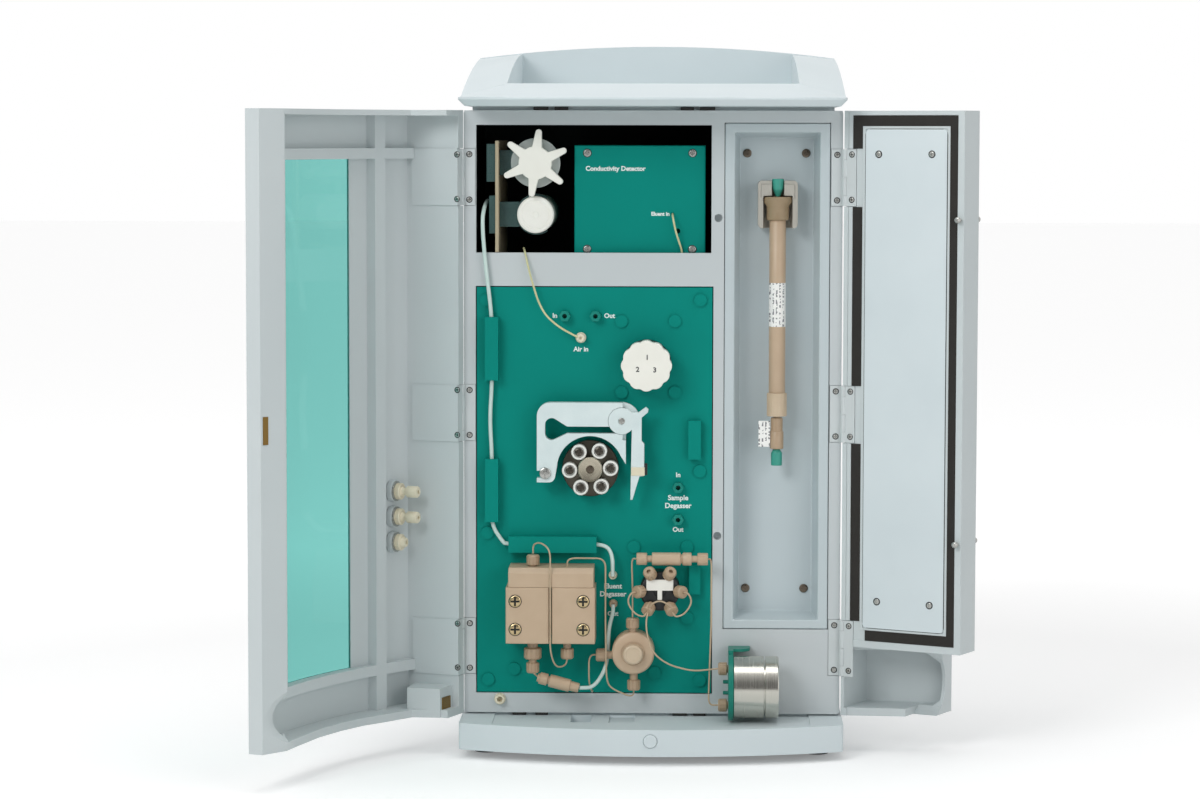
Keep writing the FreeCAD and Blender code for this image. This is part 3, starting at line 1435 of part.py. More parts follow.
def bulkhead_bosses():
    bosses = []
    for level in bulkhead_levels:
        start = door_point(-1, bulkhead_u, bulkhead_seat(), cabinet_bottom + level)
        bosses.append(rod(start, (0, -1, 0), bulkhead_washer + 0.8, bulkhead_boss + 1.0))
    return bosses


def tube_bulkheads():
    side = -1
    solids = []
    for index, level in enumerate(bulkhead_levels):
        z = cabinet_bottom + level
        x, y, z = door_point(side, bulkhead_u, bulkhead_seat(), z)
        parts = [rod((x, y, z), (0, 1, 0), bulkhead_washer, 1.6), hexagon((x, y + 1.6, z), (0, 1, 0), 8.2, 5.0),
                 rod((x, y - 12, z), (0, 1, 0), bulkhead_radius - 0.1, 20)]
        if index > 0:
            parts.append(rod((x, y + 6, z), (0, 1, 0), 3.4, 9.0))
            parts.append(rod((x, y + 12, z), (0, 1, 0), 5.6, 12.0))
        else:
            parts.append(cone((x, y + 6, z), (0, 1, 0), 6.0, 4.2, 5.0))
        solids.append(joined(parts))
    return opened(side, group(solids))


def knuckle(side, low, high):
    return rod((side * hinge_x, -hinge_axis_out, low), (0, 0, 1), hinge_knuckle_radius, high - low)


def knuckle_spans(low, high):
    step = (high - low) / 2
    first = 10.0
    return [(low, low + first), (low + first + 0.2, low + step), (low + step + 0.2, high - first), (high - first + 0.2, high)]


def body_hinges():
    solids = []
    for side in (-1, 1):
        for low, high in hinge_ranges():
            inner = side * (cabinet_half - hinge_leaf_width)
            outer = side * cabinet_half
            leaf = [box((min(inner, outer), 0, low), (max(inner, outer), hinge_leaf_thickness, high))]
            spans = knuckle_spans(low, high)
            for index in (1, 3):
                start, end = spans[index]
                leaf.append(knuckle(side, start, end))
                tail = sorted((side * (cabinet_half - 1), side * hinge_x))
                leaf.append(box((tail[0], -0.8, start), (tail[1], hinge_leaf_thickness, end)))
            leaf.append(rod((side * hinge_x, -hinge_axis_out, low), (0, 0, 1), hinge_pin_radius, high - low))
            solids.append(joined(leaf))
    return group(solids)


def door_hinges(side):
    solids = []
    for low, high in hinge_ranges():
        rim = door_prism(side, [(0, door_back_gap + 0.1), (door_side_wall + 1.4, door_back_gap + 0.1),
                                (door_side_wall + 1.4, door_back_gap + 1.7), (0, door_back_gap + 1.7)], low, high)
        face = door_prism(side, [(door_side_wall, door_back_gap + 1.0), (door_side_wall + 1.4, door_back_gap + 1.0),
                                 (door_side_wall + 1.4, leaf_depth), (door_side_wall, leaf_depth)], low, high)
        leaf = [rim, face] if side < 0 else [rim]
        body = joined(leaf)
        body = body.cut(rod((side * hinge_x, -hinge_axis_out, low - 1), (0, 0, 1), hinge_knuckle_radius + 0.3,
                            high - low + 2))
        spans = knuckle_spans(low, high)
        pieces = [body]
        for index in (0, 2):
            start, end = spans[index]
            pieces.append(knuckle(side, start, end))
            pieces.append(door_prism(side, [(0, door_back_gap + 0.1), (hinge_knuckle_radius + 1, door_back_gap + 0.1),
                                            (hinge_knuckle_radius + 1, door_back_gap + 1.7), (0, door_back_gap + 1.7)],
                                     start, end))
        bore = rod((side * hinge_x, -hinge_axis_out, low - 1), (0, 0, 1), hinge_pin_radius + hinge_running_gap,
                   high - low + 2)
        solids.append(joined(pieces).cut(bore))
    return opened(side, group(solids))


def right_door():
    side = 1
    low = cabinet_bottom
    high = cabinet_top
    width = right_door_span
    split = low + block_bottom
    skin = door_body(side, width, 0.0, low, high, door_back_gap)
    block_room = door_prism(side, [(block_side_gap, -6), (width + 2, -6), (width + 2, block_thickness + 0.2),
                                   (block_side_gap, block_thickness + 0.2)], split - 0.2, high + 1)
    front_room = door_body(side, width, door_wall, split, high - door_wall, block_thickness)
    front_room = front_room.cut(door_prism(side, [(-1, 0), (8, 0), (8, 120), (-1, 120)], low, high + 1))
    pocket = door_body(side, width, door_wall, low + door_floor, split - door_wall, -5)
    scoop = rod(door_point(side, width + 6.0, block_thickness + 4.0, low + door_floor - 5), (0, 0, 1), 21.0, block_bottom)
    pocket = pocket.cut(scoop)
    scoop_outer = rod(door_point(side, width + 6.0, block_thickness + 4.0, low + door_floor), (0, 0, 1), 18.0,
                      split - low - door_wall - door_floor)
    scoop_outer = scoop_outer.common(door_body(side, width + 30, door_wall, low, split, -5))
    floor_cut = door_prism(side, [(6.0, -6), (6.0, 3.0), (width + 2, block_thickness), (width + 2, -6)], low - 1, split + 0.0)
    body = skin.cut(group([block_room, front_room, pocket, scoop_outer, floor_cut, damper_room()] + hinge_notches(side)))
    return opened(side, body)


def block_span():
    return block_side_gap + 0.2, block_side_gap + block_width


def door_block():
    side = 1
    start, end = block_span()
    low = cabinet_bottom + block_bottom
    high = cabinet_top
    body = door_prism(side, [(start, door_back_gap), (end, door_back_gap), (end, block_thickness), (start, block_thickness)],
                      low, high)
    recess = door_prism(side, [(start + gasket_edge + gasket_band + 3, door_back_gap - 1),
                               (end - gasket_edge - gasket_band - 3, door_back_gap - 1),
                               (end - gasket_edge - gasket_band - 3, door_back_gap + inner_panel_thickness),
                               (start + gasket_edge + gasket_band + 3, door_back_gap + inner_panel_thickness)],
                        low + inner_panel_inset + 6, high - inner_panel_inset - 4)
    notches = hinge_notches(side)
    lining = door_prism(side, [(start + gasket_edge - 0.1, door_back_gap - 1), (end - gasket_free_edge + 0.1, door_back_gap - 1),
                               (end - gasket_free_edge + 0.1, door_back_gap + gasket_thickness),
                               (start + gasket_edge - 0.1, door_back_gap + gasket_thickness)], low + 6.9, high - 4.4)
    island = door_prism(side, [(start + gasket_edge + gasket_band, door_back_gap - 2), (end - gasket_edge - gasket_band + 0.0, door_back_gap - 2),
                               (end - gasket_edge - gasket_band, door_back_gap + 2), (start + gasket_edge + gasket_band, door_back_gap + 2)],
                        low + 7.0 + gasket_band, high - 4.5 - gasket_band)
    return opened(side, body.cut(group([recess, lining.cut(island)] + notches)))


def door_gasket():
    side = 1
    start, end = block_span()
    low = cabinet_bottom + block_bottom
    high = cabinet_top
    ring = door_prism(side, [(start + gasket_edge, door_back_gap - 0.3), (end - gasket_free_edge, door_back_gap - 0.3),
                             (end - gasket_free_edge, door_back_gap + gasket_thickness),
                             (start + gasket_edge, door_back_gap + gasket_thickness)], low + 7.0, high - 4.5)
    inner = door_prism(side, [(start + gasket_edge + gasket_band, door_back_gap - 2), (end - gasket_edge - gasket_band, door_back_gap - 2),
                              (end - gasket_edge - gasket_band, door_back_gap + 2), (start + gasket_edge + gasket_band, door_back_gap + 2)],
                       low + 7.0 + gasket_band, high - 4.5 - gasket_band)
    cuts = [inner]
    for low_z, high_z in hinge_ranges():
        cuts.append(door_prism(side, [(-1, -3), (door_side_wall + 14, -3), (door_side_wall + 14, 4), (-1, 4)],
                               low_z - 0.6, high_z + 0.6))
    return opened(side, ring.cut(group(cuts)))


def inner_panel():
    side = 1
    start, end = block_span()
    low = cabinet_bottom + block_bottom + inner_panel_inset + 6
    high = cabinet_top - inner_panel_inset - 4
    inset = gasket_edge + gasket_band + 3
    plate = door_prism(side, [(start + inset, door_back_gap - 0.2), (end - inset, door_back_gap - 0.2),
                              (end - inset, door_back_gap + inner_panel_thickness),
                              (start + inset, door_back_gap + inner_panel_thickness)], low + 0.3, high - 0.3)
    corners = [edge for edge in plate.Edges if edge.BoundBox.YLength > 1.0 and edge.BoundBox.ZLength < 0.01]
    return opened(side, plate.makeFillet(inner_panel_radius, corners))


def ball_stud(side, u, v, z, out):
    x, y, z = door_point(side, u, v, z)
    neck = rod((x, y, z), (0, -out, 0), stud_neck_radius, stud_length - 3)
    neck.translate(Vector(0, 0, 0))
    end = y - out * stud_length
    waist = stud_ball_radius * 0.5
    ball = [cone((x, end, z), (0, out, 0), waist, stud_ball_radius, 1.6),
            rod((x, end + out * 1.6, z), (0, out, 0), stud_ball_radius, 2.4),
            cone((x, end + out * 4.0, z), (0, out, 0), stud_ball_radius, waist, 1.6)]
    return joined([neck] + ball)


def ball_studs():
    side = 1
    u = hinge_x - (column_left - catch_inset)
    studs = []
    for level in (catch_height_low, catch_height_high):
        z = cabinet_bottom + level
        studs.append(ball_stud(side, u, door_back_gap, z, -1))
        studs.append(ball_stud(side, u, block_thickness, z, 1))
    return opened(side, group(studs))


def hinge_screws():
    screws = []
    for side in (-1, 1):
        for low, high in hinge_ranges():
            for z in (low + screw_inset, high - screw_inset):
                x = side * (cabinet_half - screw_inset)
                screws.append(rod((x, -screw_height, z), (0, 1, 0), screw_radius, screw_height))
    for x, z in column_screw_places():
        screws.append(rod((x, column_bay_depth - 1.4, z), (0, 1, 0), 4.2, 1.4))
    width, depth, height = detector_box()
    for x in (detector_left() + 12.3, detector_left() + width - 12.6):
        for z in (bay_top - 26.6, bay_top - 118.4):
            screws.append(rod((x, 12.0 - 1.2, z), (0, 1, 0), 3.6, 1.2))
    return group(screws + pump_screws() + [cassette_screw(), catch_pin()])


def fluid_drives():
    back = panel_thickness
    rx, rz = rotor_centre()
    motor = box((rx - 28, back, rz - 28), (rx + 28, back + 70, rz + 28))
    bore = rod((rx, back - 1, rz), (0, 1, 0), shaft_radius + hinge_running_gap, 14)
    px, pz = pump_corner()
    drive = box((px + 2, back, pz + 4), (px + pump_width - 2, back + 150, pz + 70))
    vx, vz = valve_centre()
    actuator = rod((vx, back, vz), (0, 1, 0), 22.0, 70.0)
    return [motor.cut(bore), drive, actuator]


def vacuum_degasser():
    x, z = degasser_ports()[0]
    return box((x - 30, panel_thickness + 6.0, z - 45), (x + 12, panel_thickness + 90, z + 12))


def main_board():
    y = cabinet_depth - 40.0
    plate = box((-cabinet_half + 40, y, cabinet_bottom + 150), (cabinet_half - 40, y + 1.6, cabinet_bottom + 400))
    posts = []
    for x in (-cabinet_half + 48, cabinet_half - 48):
        for z in (cabinet_bottom + 158, cabinet_bottom + 392):
            posts.append(rod((x, y + 1.6 - 0.1, z), (0, 1, 0), 3.0, 38.5))
    chip = box((-20, y - 4, cabinet_bottom + 260), (20, y + 0.5, cabinet_bottom + 300))
    return joined([plate, chip] + posts)


def power_supply():
    low = cabinet_bottom + sheet
    return box((-cabinet_half + 30, cabinet_depth - 110, low), (-cabinet_half + 140, cabinet_depth - 20, low + 50))


os.makedirs("parts", exist_ok=True)
export("feet", feet())
export("base_tray", base_tray())
export("standby_button", standby_button())
export("housing", housing())
export("front_frame", front_frame())
export("rear_panel", rear_panel())
export("power_inlet", power_inlet())
export("fan_housing", fan_housing())
export("fan_rotor", fan_rotor())
export("bottle_tray", bottle_tray())
export("front_panel", front_panel())
export("wet_ports", group(wet_ports()))
export("drain_nipple", drain_nipple())
export("bay_liner", bay_liner())
export("detector_module", detector_module())
export("bracket_plate", bracket_plate())
export("cartridge_clips", cartridge_clips())
export("absorber_cartridges", absorber_cartridges())
export("star_cap", star_cap())
export("suppressor_body", suppressor_body())
export("suppressor_knob", suppressor_knob())
export("pump_rotor", pump_rotor())
for number, centre in enumerate(roller_centres()):
    export("roller_" + str(number + 1), roller(centre))
export("tubing_cassette", tubing_cassette())
export("cassette_latch", cassette_latch())
export("pump_head", pump_head())
export("peek_fittings", group(pump_fittings() + purge_fittings() + damper_fittings() + valve_nuts()
                              + [eluent_fitting(), degasser_out_fitting(), air_fitting()]))
export("purge_valve", purge_valve())
export("purge_knob", purge_knob())
export("inline_filters", inline_filters())
export("injection_valve", injection_valve())
export("capillaries", capillaries())
export("supply_tubes", supply_tubes())
export("damper", damper())
export("damper_bracket", damper_bracket())
export("column_bay", column_bay())
export("column_holder", column_holder())
export("column", column())
export("column_stoppers", column_stoppers())
export("column_chip", column_chip())
export("body_hinges", body_hinges())
export("screws", hinge_screws())
export("left_door", left_door())
export("left_window", left_window())
export("left_door_hinges", door_hinges(-1))
export("tube_bulkheads", tube_bulkheads())
export("door_latch", door_latch())
export("right_door", right_door())
export("door_block", door_block())
export("door_gasket", door_gasket())
export("inner_panel", inner_panel())
export("right_door_hinges", door_hinges(1))
export("ball_studs", ball_studs())
export("fluid_drives", group(fluid_drives() + [vacuum_degasser()]))
export("electronics", group([main_board(), power_supply()]))
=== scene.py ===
import json
import math
import bmesh
import bpy
from mathutils import Matrix, Vector


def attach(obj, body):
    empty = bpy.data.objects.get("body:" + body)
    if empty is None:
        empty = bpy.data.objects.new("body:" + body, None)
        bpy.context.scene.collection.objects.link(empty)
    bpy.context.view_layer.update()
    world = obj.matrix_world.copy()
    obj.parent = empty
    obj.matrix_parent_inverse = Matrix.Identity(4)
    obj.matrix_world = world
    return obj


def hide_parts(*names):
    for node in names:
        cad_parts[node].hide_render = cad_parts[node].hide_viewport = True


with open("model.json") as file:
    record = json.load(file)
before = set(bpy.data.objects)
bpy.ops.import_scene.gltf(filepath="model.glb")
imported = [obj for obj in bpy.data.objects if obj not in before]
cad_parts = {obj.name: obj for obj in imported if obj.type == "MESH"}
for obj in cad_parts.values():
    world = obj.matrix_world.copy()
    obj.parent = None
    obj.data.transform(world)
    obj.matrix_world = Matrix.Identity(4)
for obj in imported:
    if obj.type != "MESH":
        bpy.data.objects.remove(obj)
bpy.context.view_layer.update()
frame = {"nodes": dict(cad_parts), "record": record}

nodes = frame["nodes"]
bodyOfNode = {}
for bodyName, members in frame["record"]["behaviour"]["bodies"].items():
    for member in members:
        bodyOfNode[member] = bodyName
mm = 0.001
weldGap = 0.00002
breakAngle, smoothAngle = math.radians(32), math.radians(38)


# colour and node helpers
def toLinear(hexText):
    values = []
    for start in (1, 3, 5):
        part = int(hexText[start:start + 2], 16) / 255
        values.append(part / 12.92 if part <= 0.04045 else ((part + 0.055) / 1.055) ** 2.4)
    return (*values, 1.0)


def addNode(finish, kind, settings=None, links=None):
    node = finish.node_tree.nodes.new(kind)
    for key, value in (settings or {}).items():
        if isinstance(key, int) or key in node.inputs:
            node.inputs[key].default_value = value
        else:
            setattr(node, key, value)
    for key, source in (links or {}).items():
        finish.node_tree.links.new(source, node.inputs[key])
    return node


def newFinish(name, shaderValues):
    finish = bpy.data.materials.new(name)
    finish.use_nodes = True
    finish.node_tree.nodes.clear()
    shader = addNode(finish, "ShaderNodeBsdfPrincipled", shaderValues)
    addNode(finish, "ShaderNodeOutputMaterial", None, {"Surface": shader.outputs["BSDF"]})
    return finish, shader


def joinSkin(finish, shader, colour=None, roughness=None, normal=None):
    for socket, source in (("Base Color", colour), ("Roughness", roughness), ("Normal", normal)):
        if source:
            finish.node_tree.links.new(source, shader.inputs[socket])


def mouldedFinish(name, colour, colourLow, roughness, grainMm, driftMm, reliefMm, ior=1.5):
    # moulded or painted skin: a fine grain that breaks the gloss, and a slow drift of tone over the part
    finish, shader = newFinish(name, {"Roughness": roughness, "IOR": ior})
    place = addNode(finish, "ShaderNodeTexCoord").outputs["Object"]
    grain = addNode(finish, "ShaderNodeTexNoise", {"Scale": 1000 / grainMm, "Detail": 3.0, "Roughness": 0.6},
                    {"Vector": place})
    drift = addNode(finish, "ShaderNodeTexNoise", {"Scale": 1000 / driftMm, "Detail": 2.0}, {"Vector": place})
    tone = addNode(finish, "ShaderNodeMix", {"data_type": "RGBA", 6: toLinear(colour), 7: toLinear(colourLow)},
                   {0: drift.outputs["Fac"]})
    sheen = addNode(finish, "ShaderNodeMapRange", {"From Min": 0.3, "From Max": 0.7, "To Min": roughness - 0.06,
                                                   "To Max": roughness + 0.08}, {"Value": grain.outputs["Fac"]})
    relief = addNode(finish, "ShaderNodeBump", {"Strength": 0.35, "Distance": reliefMm * mm},
                     {"Height": grain.outputs["Fac"]})
    joinSkin(finish, shader, tone.outputs[2], sheen.outputs["Result"], relief.outputs["Normal"])
    return finish


def turnedMetalFinish(name, colour, roughness, acrossMm, lineMm, axis, strength=0.25):
    # lathe lines run round the axis, so the noise is squeezed along it
    finish, shader = newFinish(name, {"Metallic": 1.0, "Roughness": roughness, "Base Color": toLinear(colour)})
    place = addNode(finish, "ShaderNodeTexCoord")
    stretch = [1000 / acrossMm] * 3
    stretch[axis] = 1000 / lineMm
    shape = addNode(finish, "ShaderNodeMapping", {"Scale": tuple(stretch)}, {"Vector": place.outputs["Object"]})
    lines = addNode(finish, "ShaderNodeTexNoise", {"Scale": 1.0, "Detail": 4.0}, {"Vector": shape.outputs["Vector"]})
    sheen = addNode(finish, "ShaderNodeMapRange", {"From Min": 0.3, "From Max": 0.7, "To Min": roughness - 0.08,
                                                   "To Max": roughness + 0.1}, {"Value": lines.outputs["Fac"]})
    relief = addNode(finish, "ShaderNodeBump", {"Strength": strength, "Distance": 0.02 * mm},
                     {"Height": lines.outputs["Fac"]})
    joinSkin(finish, shader, None, sheen.outputs["Result"], relief.outputs["Normal"])
    return finish


def tintedWindowFinish():
    # cast acrylic sheet tinted in the mass: the pale room shows through it as one even blue green
    finish, shader = newFinish("tintedAcrylic", {"Roughness": 0.03, "IOR": 1.2, "Transmission Weight": 1.0})
    place = addNode(finish, "ShaderNodeTexCoord")
    haze = addNode(finish, "ShaderNodeTexNoise", {"Scale": 9.0, "Detail": 1.0}, {"Vector": place.outputs["Object"]})
    tone = addNode(finish, "ShaderNodeMix", {"data_type": "RGBA", 6: toLinear("#7FC8C1"), 7: toLinear("#7DC6BF")},
                   {0: haze.outputs["Fac"]})
    joinSkin(finish, shader, tone.outputs[2])
    return finish


def clearPartFinish():
    # clear polycarbonate: thin, slightly milky, with bright rims
    finish, shader = newFinish("clearPolycarbonate", {"Roughness": 0.22, "IOR": 1.58, "Transmission Weight": 0.6})
    place = addNode(finish, "ShaderNodeTexCoord")
    haze = addNode(finish, "ShaderNodeTexNoise", {"Scale": 1000 / 9, "Detail": 2.0},
                   {"Vector": place.outputs["Object"]})
    tone = addNode(finish, "ShaderNodeMix", {"data_type": "RGBA", 6: toLinear("#E9EFEC"), 7: toLinear("#D8E2DF")},
                   {0: haze.outputs["Fac"]})
    joinSkin(finish, shader, tone.outputs[2])
    return finish


def labelPaperFinish():
    # white coated label with small grey rows that run up the tube, too small to be words
    finish, shader = newFinish("coatedLabelPaper", {"Roughness": 0.38, "IOR": 1.5})
    place = addNode(finish, "ShaderNodeTexCoord")
    split = addNode(finish, "ShaderNodeSeparateXYZ", None, {"Vector": place.outputs["Object"]})
    rows = addNode(finish, "ShaderNodeMath", {"operation": "PINGPONG", 1: 1.6 * mm}, {0: split.outputs["X"]})
    rowMask = addNode(finish, "ShaderNodeMath", {"operation": "LESS_THAN", 1: 0.75 * mm}, {0: rows.outputs["Value"]})
    shape = addNode(finish, "ShaderNodeMapping", {"Scale": (1000 / 3.2, 1000 / 40, 1000 / 2.4)},
                    {"Vector": place.outputs["Object"]})
    words = addNode(finish, "ShaderNodeTexNoise", {"Scale": 1.0, "Detail": 1.0}, {"Vector": shape.outputs["Vector"]})
    wordMask = addNode(finish, "ShaderNodeMath", {"operation": "GREATER_THAN", 1: 0.52}, {0: words.outputs["Fac"]})
    both = addNode(finish, "ShaderNodeMath", {"operation": "MULTIPLY"},
                   {0: rowMask.outputs["Value"], 1: wordMask.outputs["Value"]})
    tone = addNode(finish, "ShaderNodeMix", {"data_type": "RGBA", 6: toLinear("#F4F4F1"), 7: toLinear("#7E8083")},
                   {0: both.outputs["Value"]})
    joinSkin(finish, shader, tone.outputs[2])
    return finish


# moulded and painted skins: name, two sRGB tones, roughness, grain, drift and relief in mm, IOR if not 1.5
mouldedPlan = {
    # polyurethane structural foam, painted: a soft satin skin with a fine orange peel
    "tray": ("paintedFoamTray", "#D3DDE0", "#CBD6D9", 0.46, 0.9, 90, 0.05),
    "door": ("paintedFoamDoor", "#C9D1D2", "#C0C9CB", 0.5, 0.9, 120, 0.06),
    # powder coat on sheet steel, a little greyer than the mouldings
    "cabinet": ("powderCoatedSteel", "#C5CCCE", "#BFC6C8", 0.52, 0.7, 140, 0.05),
    "leaf": ("powderCoatedLeaf", "#CDD4D5", "#C3CACB", 0.42, 0.8, 30, 0.04),  # thin coat, smoother and paler
    "recess": ("powderCoatedRecess", "#C3CED1", "#BAC6CA", 0.48, 0.7, 80, 0.05),  # the same coat, shaded in the bay
    "innerSheet": ("paintedInnerSheet", "#D6E0E3", "#CBD6DA", 0.38, 1.1, 60, 0.04),  # wet paint, a clearer sheen
    # injection moulded ABS with a spark eroded grain
    "greenPanel": ("greenMouldedPanel", "#008C80", "#008075", 0.58, 0.6, 110, 0.05, 1.2),
    "greenPart": ("greenNylon", "#00897B", "#007A6D", 0.4, 0.5, 30, 0.03, 1.38),  # denser and glossier
    "greenPaint": ("greenPaintedSteel", "#05806F", "#047263", 0.36, 0.8, 40, 0.03, 1.42),  # smooth coat on bent sheet
    "blackBay": ("blackSheetLining", "#04100F", "#061413", 0.66, 0.8, 70, 0.04, 1.3),  # matt, swallows the light
    "blackPart": ("blackAcetal", "#131415", "#1B1C1D", 0.4, 0.5, 25, 0.03),  # coloured through, low gloss
    "darkClip": ("smokedTealPolyamide", "#2F4B4A", "#3B5957", 0.3, 0.6, 14, 0.03),  # smoky, with small glints
    "white": ("whitePolypropylene", "#F3F2EA", "#E8E7DD", 0.34, 0.5, 25, 0.03),  # warm and slightly waxy
    "whiteGloss": ("whiteGlossyAcetal", "#F5F4EE", "#ECEBE2", 0.22, 0.5, 18, 0.015),  # small sharp highlights
    "cassetteWhite": ("milkyPolypropylene", "#DFEAEA", "#CBDADB", 0.26, 0.6, 18, 0.03),  # cool, milky at its edges
    "cream": ("creamPolyamide", "#E3DCC4", "#D8CFB5", 0.36, 0.5, 20, 0.03),  # warm moulded gloss
    "creamNut": ("turnedCreamPolyamide", "#E6DFC8", "#D9D0B6", 0.33, 0.5, 9, 0.03),  # soft turned highlights
    "creamStrip": ("creamPaintedStrip", "#B9AD92", "#A99C80", 0.42, 0.7, 30, 0.03),  # flat ochre coat
    "roller": ("ivoryAcetal", "#EDEDE8", "#E0E0DA", 0.2, 0.5, 10, 0.02),  # polished by the tubing
    # machined PEEK: beige, faint tool marks, waxy gloss
    "peek": ("machinedPeek", "#C6AE93", "#B9A084", 0.4, 0.45, 18, 0.04, 1.6),
    # painted shade: the same PEEK darkened all over, standing for the shade in the flutes of the nuts
    "peekShaded": ("turnedPeekPaintedShade", "#B79F84", "#A88F73", 0.36, 0.45, 10, 0.04, 1.6),  # darker in the flutes
    "peekPale": ("palePeek", "#CFBCA2", "#C1AD92", 0.36, 0.45, 12, 0.03, 1.6),  # paler where freshly cut
    "capillary": ("peekCapillary", "#BFAA8E", "#B19B7E", 0.3, 0.6, 15, 0.01, 1.6),  # drawn, so nearly glossy
    "tube": ("milkyFluoropolymerTube", "#D3E4DE", "#BFD6D1", 0.18, 0.8, 15, 0.01, 1.38),  # milky and wet looking
    "creamTube": ("creamNylonTube", "#D6D3A6", "#C8C596", 0.25, 0.8, 15, 0.01),  # yellowed, with a soft gloss
    # greyed acetal of the column's clip, and the golden end fitting above it
    "holder": ("greyBeigeAcetal", "#B9B6AD", "#AAA79E", 0.34, 0.5, 20, 0.03),  # a dull grey beige
    "golden": ("goldenPeek", "#A08B6D", "#8F7A5C", 0.3, 0.45, 9, 0.03, 1.6),  # browner and glossier
    "stopper": ("paleGreenNylon", "#3FA18F", "#319080", 0.34, 0.5, 12, 0.03),  # lighter green, moulded gloss
    # painted shade: a near-black skin for the dark rings, strips and discs laid where gaps, holes and screw heads
    # fall into shade
    "paintedShade": ("paintedShadeBlack", "#161A1A", "#1F2424", 0.6, 0.6, 20, 0.04),  # near black and dull
    "rubber": ("blackRubber", "#1E1E1D", "#272624", 0.75, 0.6, 12, 0.08),  # matt, with a coarse skin
    "gasket": ("closedCellFoam", "#211F1C", "#2B2825", 0.85, 0.8, 20, 0.12),  # fine pores, no gloss
    "print": ("whiteScreenPrint", "#EDF3F1", "#E2EBE8", 0.4, 0.5, 6, 0.01),  # flat dense ink
    "darkPrint": ("darkScreenPrint", "#3A3B3C", "#47484A", 0.4, 0.5, 6, 0.01),  # flat grey ink
    "board": ("circuitBoard", "#2B6A43", "#245C3A", 0.4, 1.0, 20, 0.03),  # solder mask over glass fibre
}
# bare metals: name, sRGB colour, roughness, streak length and line width in mm, axis across the lines,
# and the strength of the relief if not 0.25
metalPlan = {
    "casting": ("castAluminium", "#A6AAAC", 0.45, 3, 1.5, 1),  # dull grain of the mould
    "screw": ("brightSteelScrew", "#B4B5B1", 0.26, 2, 0.4, 1),  # bright with fine rings
    "creamScrew": ("brassPlatedScrew", "#C9B48C", 0.24, 2, 0.4, 1),  # yellowish plating
    "darkScrew": ("bronzedSteelScrew", "#6B6257", 0.3, 2, 0.4, 1),  # brown glints
    "pinMetal": ("roundedSteelPin", "#57534C", 0.28, 2, 0.4, 1),  # dark rounded glints
    # fine lathe lines, drawn as bands of 0.5 mm because the real ones are too fine to show
    "damper": ("turnedStainless", "#CFCDC4", 0.2, 60, 0.5, 0, 0.03),
    "rotor": ("turnedRotorSteel", "#B9B2A0", 0.24, 25, 0.35, 1),  # warm turned rings
    # painted shade: the rotor steel darkened for the plate behind the hub and rollers
    "rotorShaded": ("shadedRotorSteel", "#4E4B43", 0.32, 25, 0.35, 1),  # the same rings, darkened
    "brass": ("rolledBrass", "#8F7240", 0.38, 6, 0.5, 2),  # streaks along the rolling
}
finishes = {"window": tintedWindowFinish(), "clearPart": clearPartFinish(), "labelPaper": labelPaperFinish()}
for finishName, row in mouldedPlan.items():
    finishes[finishName] = mouldedFinish(*row)
for finishName, row in metalPlan.items():
    finishes[finishName] = turnedMetalFinish(*row)
print("stage: finishes", len(finishes))

# camera, light and floor
cameraPlan = {"place": (0.04489, -3.33853, 0.59308), "turn": (85.6453, -0.0943, 1.6376), "lensMm": 105.0}
lightPlan = {
    "keyLight": {"place": (-1.5, -2.6, 1.9), "aim": (0, 0, 0.35), "size": 1.3, "power": 40},
    "fillLight": {"place": (1.8, -2.6, 1.1), "aim": (0, 0, 0.3), "size": 1.6, "power": 16},
    "topLight": {"place": (0.0, -0.3, 2.4), "aim": (0, 0, 0.4), "size": 1.6, "power": 13},
}
bpy.ops.object.camera_add(location=cameraPlan["place"], rotation=[math.radians(turn) for turn in cameraPlan["turn"]])
viewCamera = bpy.context.object
viewCamera.name = "viewCamera"
viewCamera.data.lens = cameraPlan["lensMm"]
viewCamera.data.sensor_width = 36.0
viewCamera.data.clip_end = 60
bpy.context.scene.camera = viewCamera
for lightName, plan in lightPlan.items():
    aim = Vector(plan["aim"]) - Vector(plan["place"])
    bpy.ops.object.light_add(type="AREA", location=plan["place"], rotation=aim.to_track_quat("-Z", "Y").to_euler())
    light = bpy.context.object
    light.name = lightName
    light.data.shape = "SQUARE"
    light.data.size = plan["size"]
    light.data.energy = plan["power"]
bpy.ops.mesh.primitive_plane_add(size=40, location=(0, 0, 0))
floor = bpy.context.object
floor.name = "paleFloor"
roomPlan = {"diffuse": 0.66, "behindCamera": 0.14, "floorLift": 0.2, "farMm": 900, "whiteMm": 1700, "farLift": 0.42}
floorFinish, floorShader = newFinish("paleFloorPaper", {"Base Color": toLinear("#F4F4F4"), "Roughness": 0.9,
                                                        "Emission Color": (1, 1, 1, 1)})
seen = addNode(floorFinish, "ShaderNodeLightPath")
# the floor keeps its shadow near the cabinet and fades to white paper farther away, to the eye and through the window
spot = addNode(floorFinish, "ShaderNodeTexCoord")
reach = addNode(floorFinish, "ShaderNodeVectorMath", {"operation": "LENGTH"}, {0: spot.outputs["Object"]})
fade = addNode(floorFinish, "ShaderNodeMapRange", {"From Min": roomPlan["farMm"] * mm,
                                                   "From Max": roomPlan["whiteMm"] * mm,
                                                   "To Min": roomPlan["floorLift"], "To Max": roomPlan["farLift"]},
                                                   {"Value": reach.outputs["Value"]})
straight = addNode(floorFinish, "ShaderNodeMath", {"operation": "MAXIMUM"},
                   {0: seen.outputs["Is Camera Ray"], 1: seen.outputs["Is Transmission Ray"]})
lift = addNode(floorFinish, "ShaderNodeMath", {"operation": "MULTIPLY"},
               {0: fade.outputs["Result"], 1: straight.outputs["Value"]})
floorFinish.node_tree.links.new(lift.outputs["Value"], floorShader.inputs["Emission Strength"])
floor.data.materials.append(floorFinish)
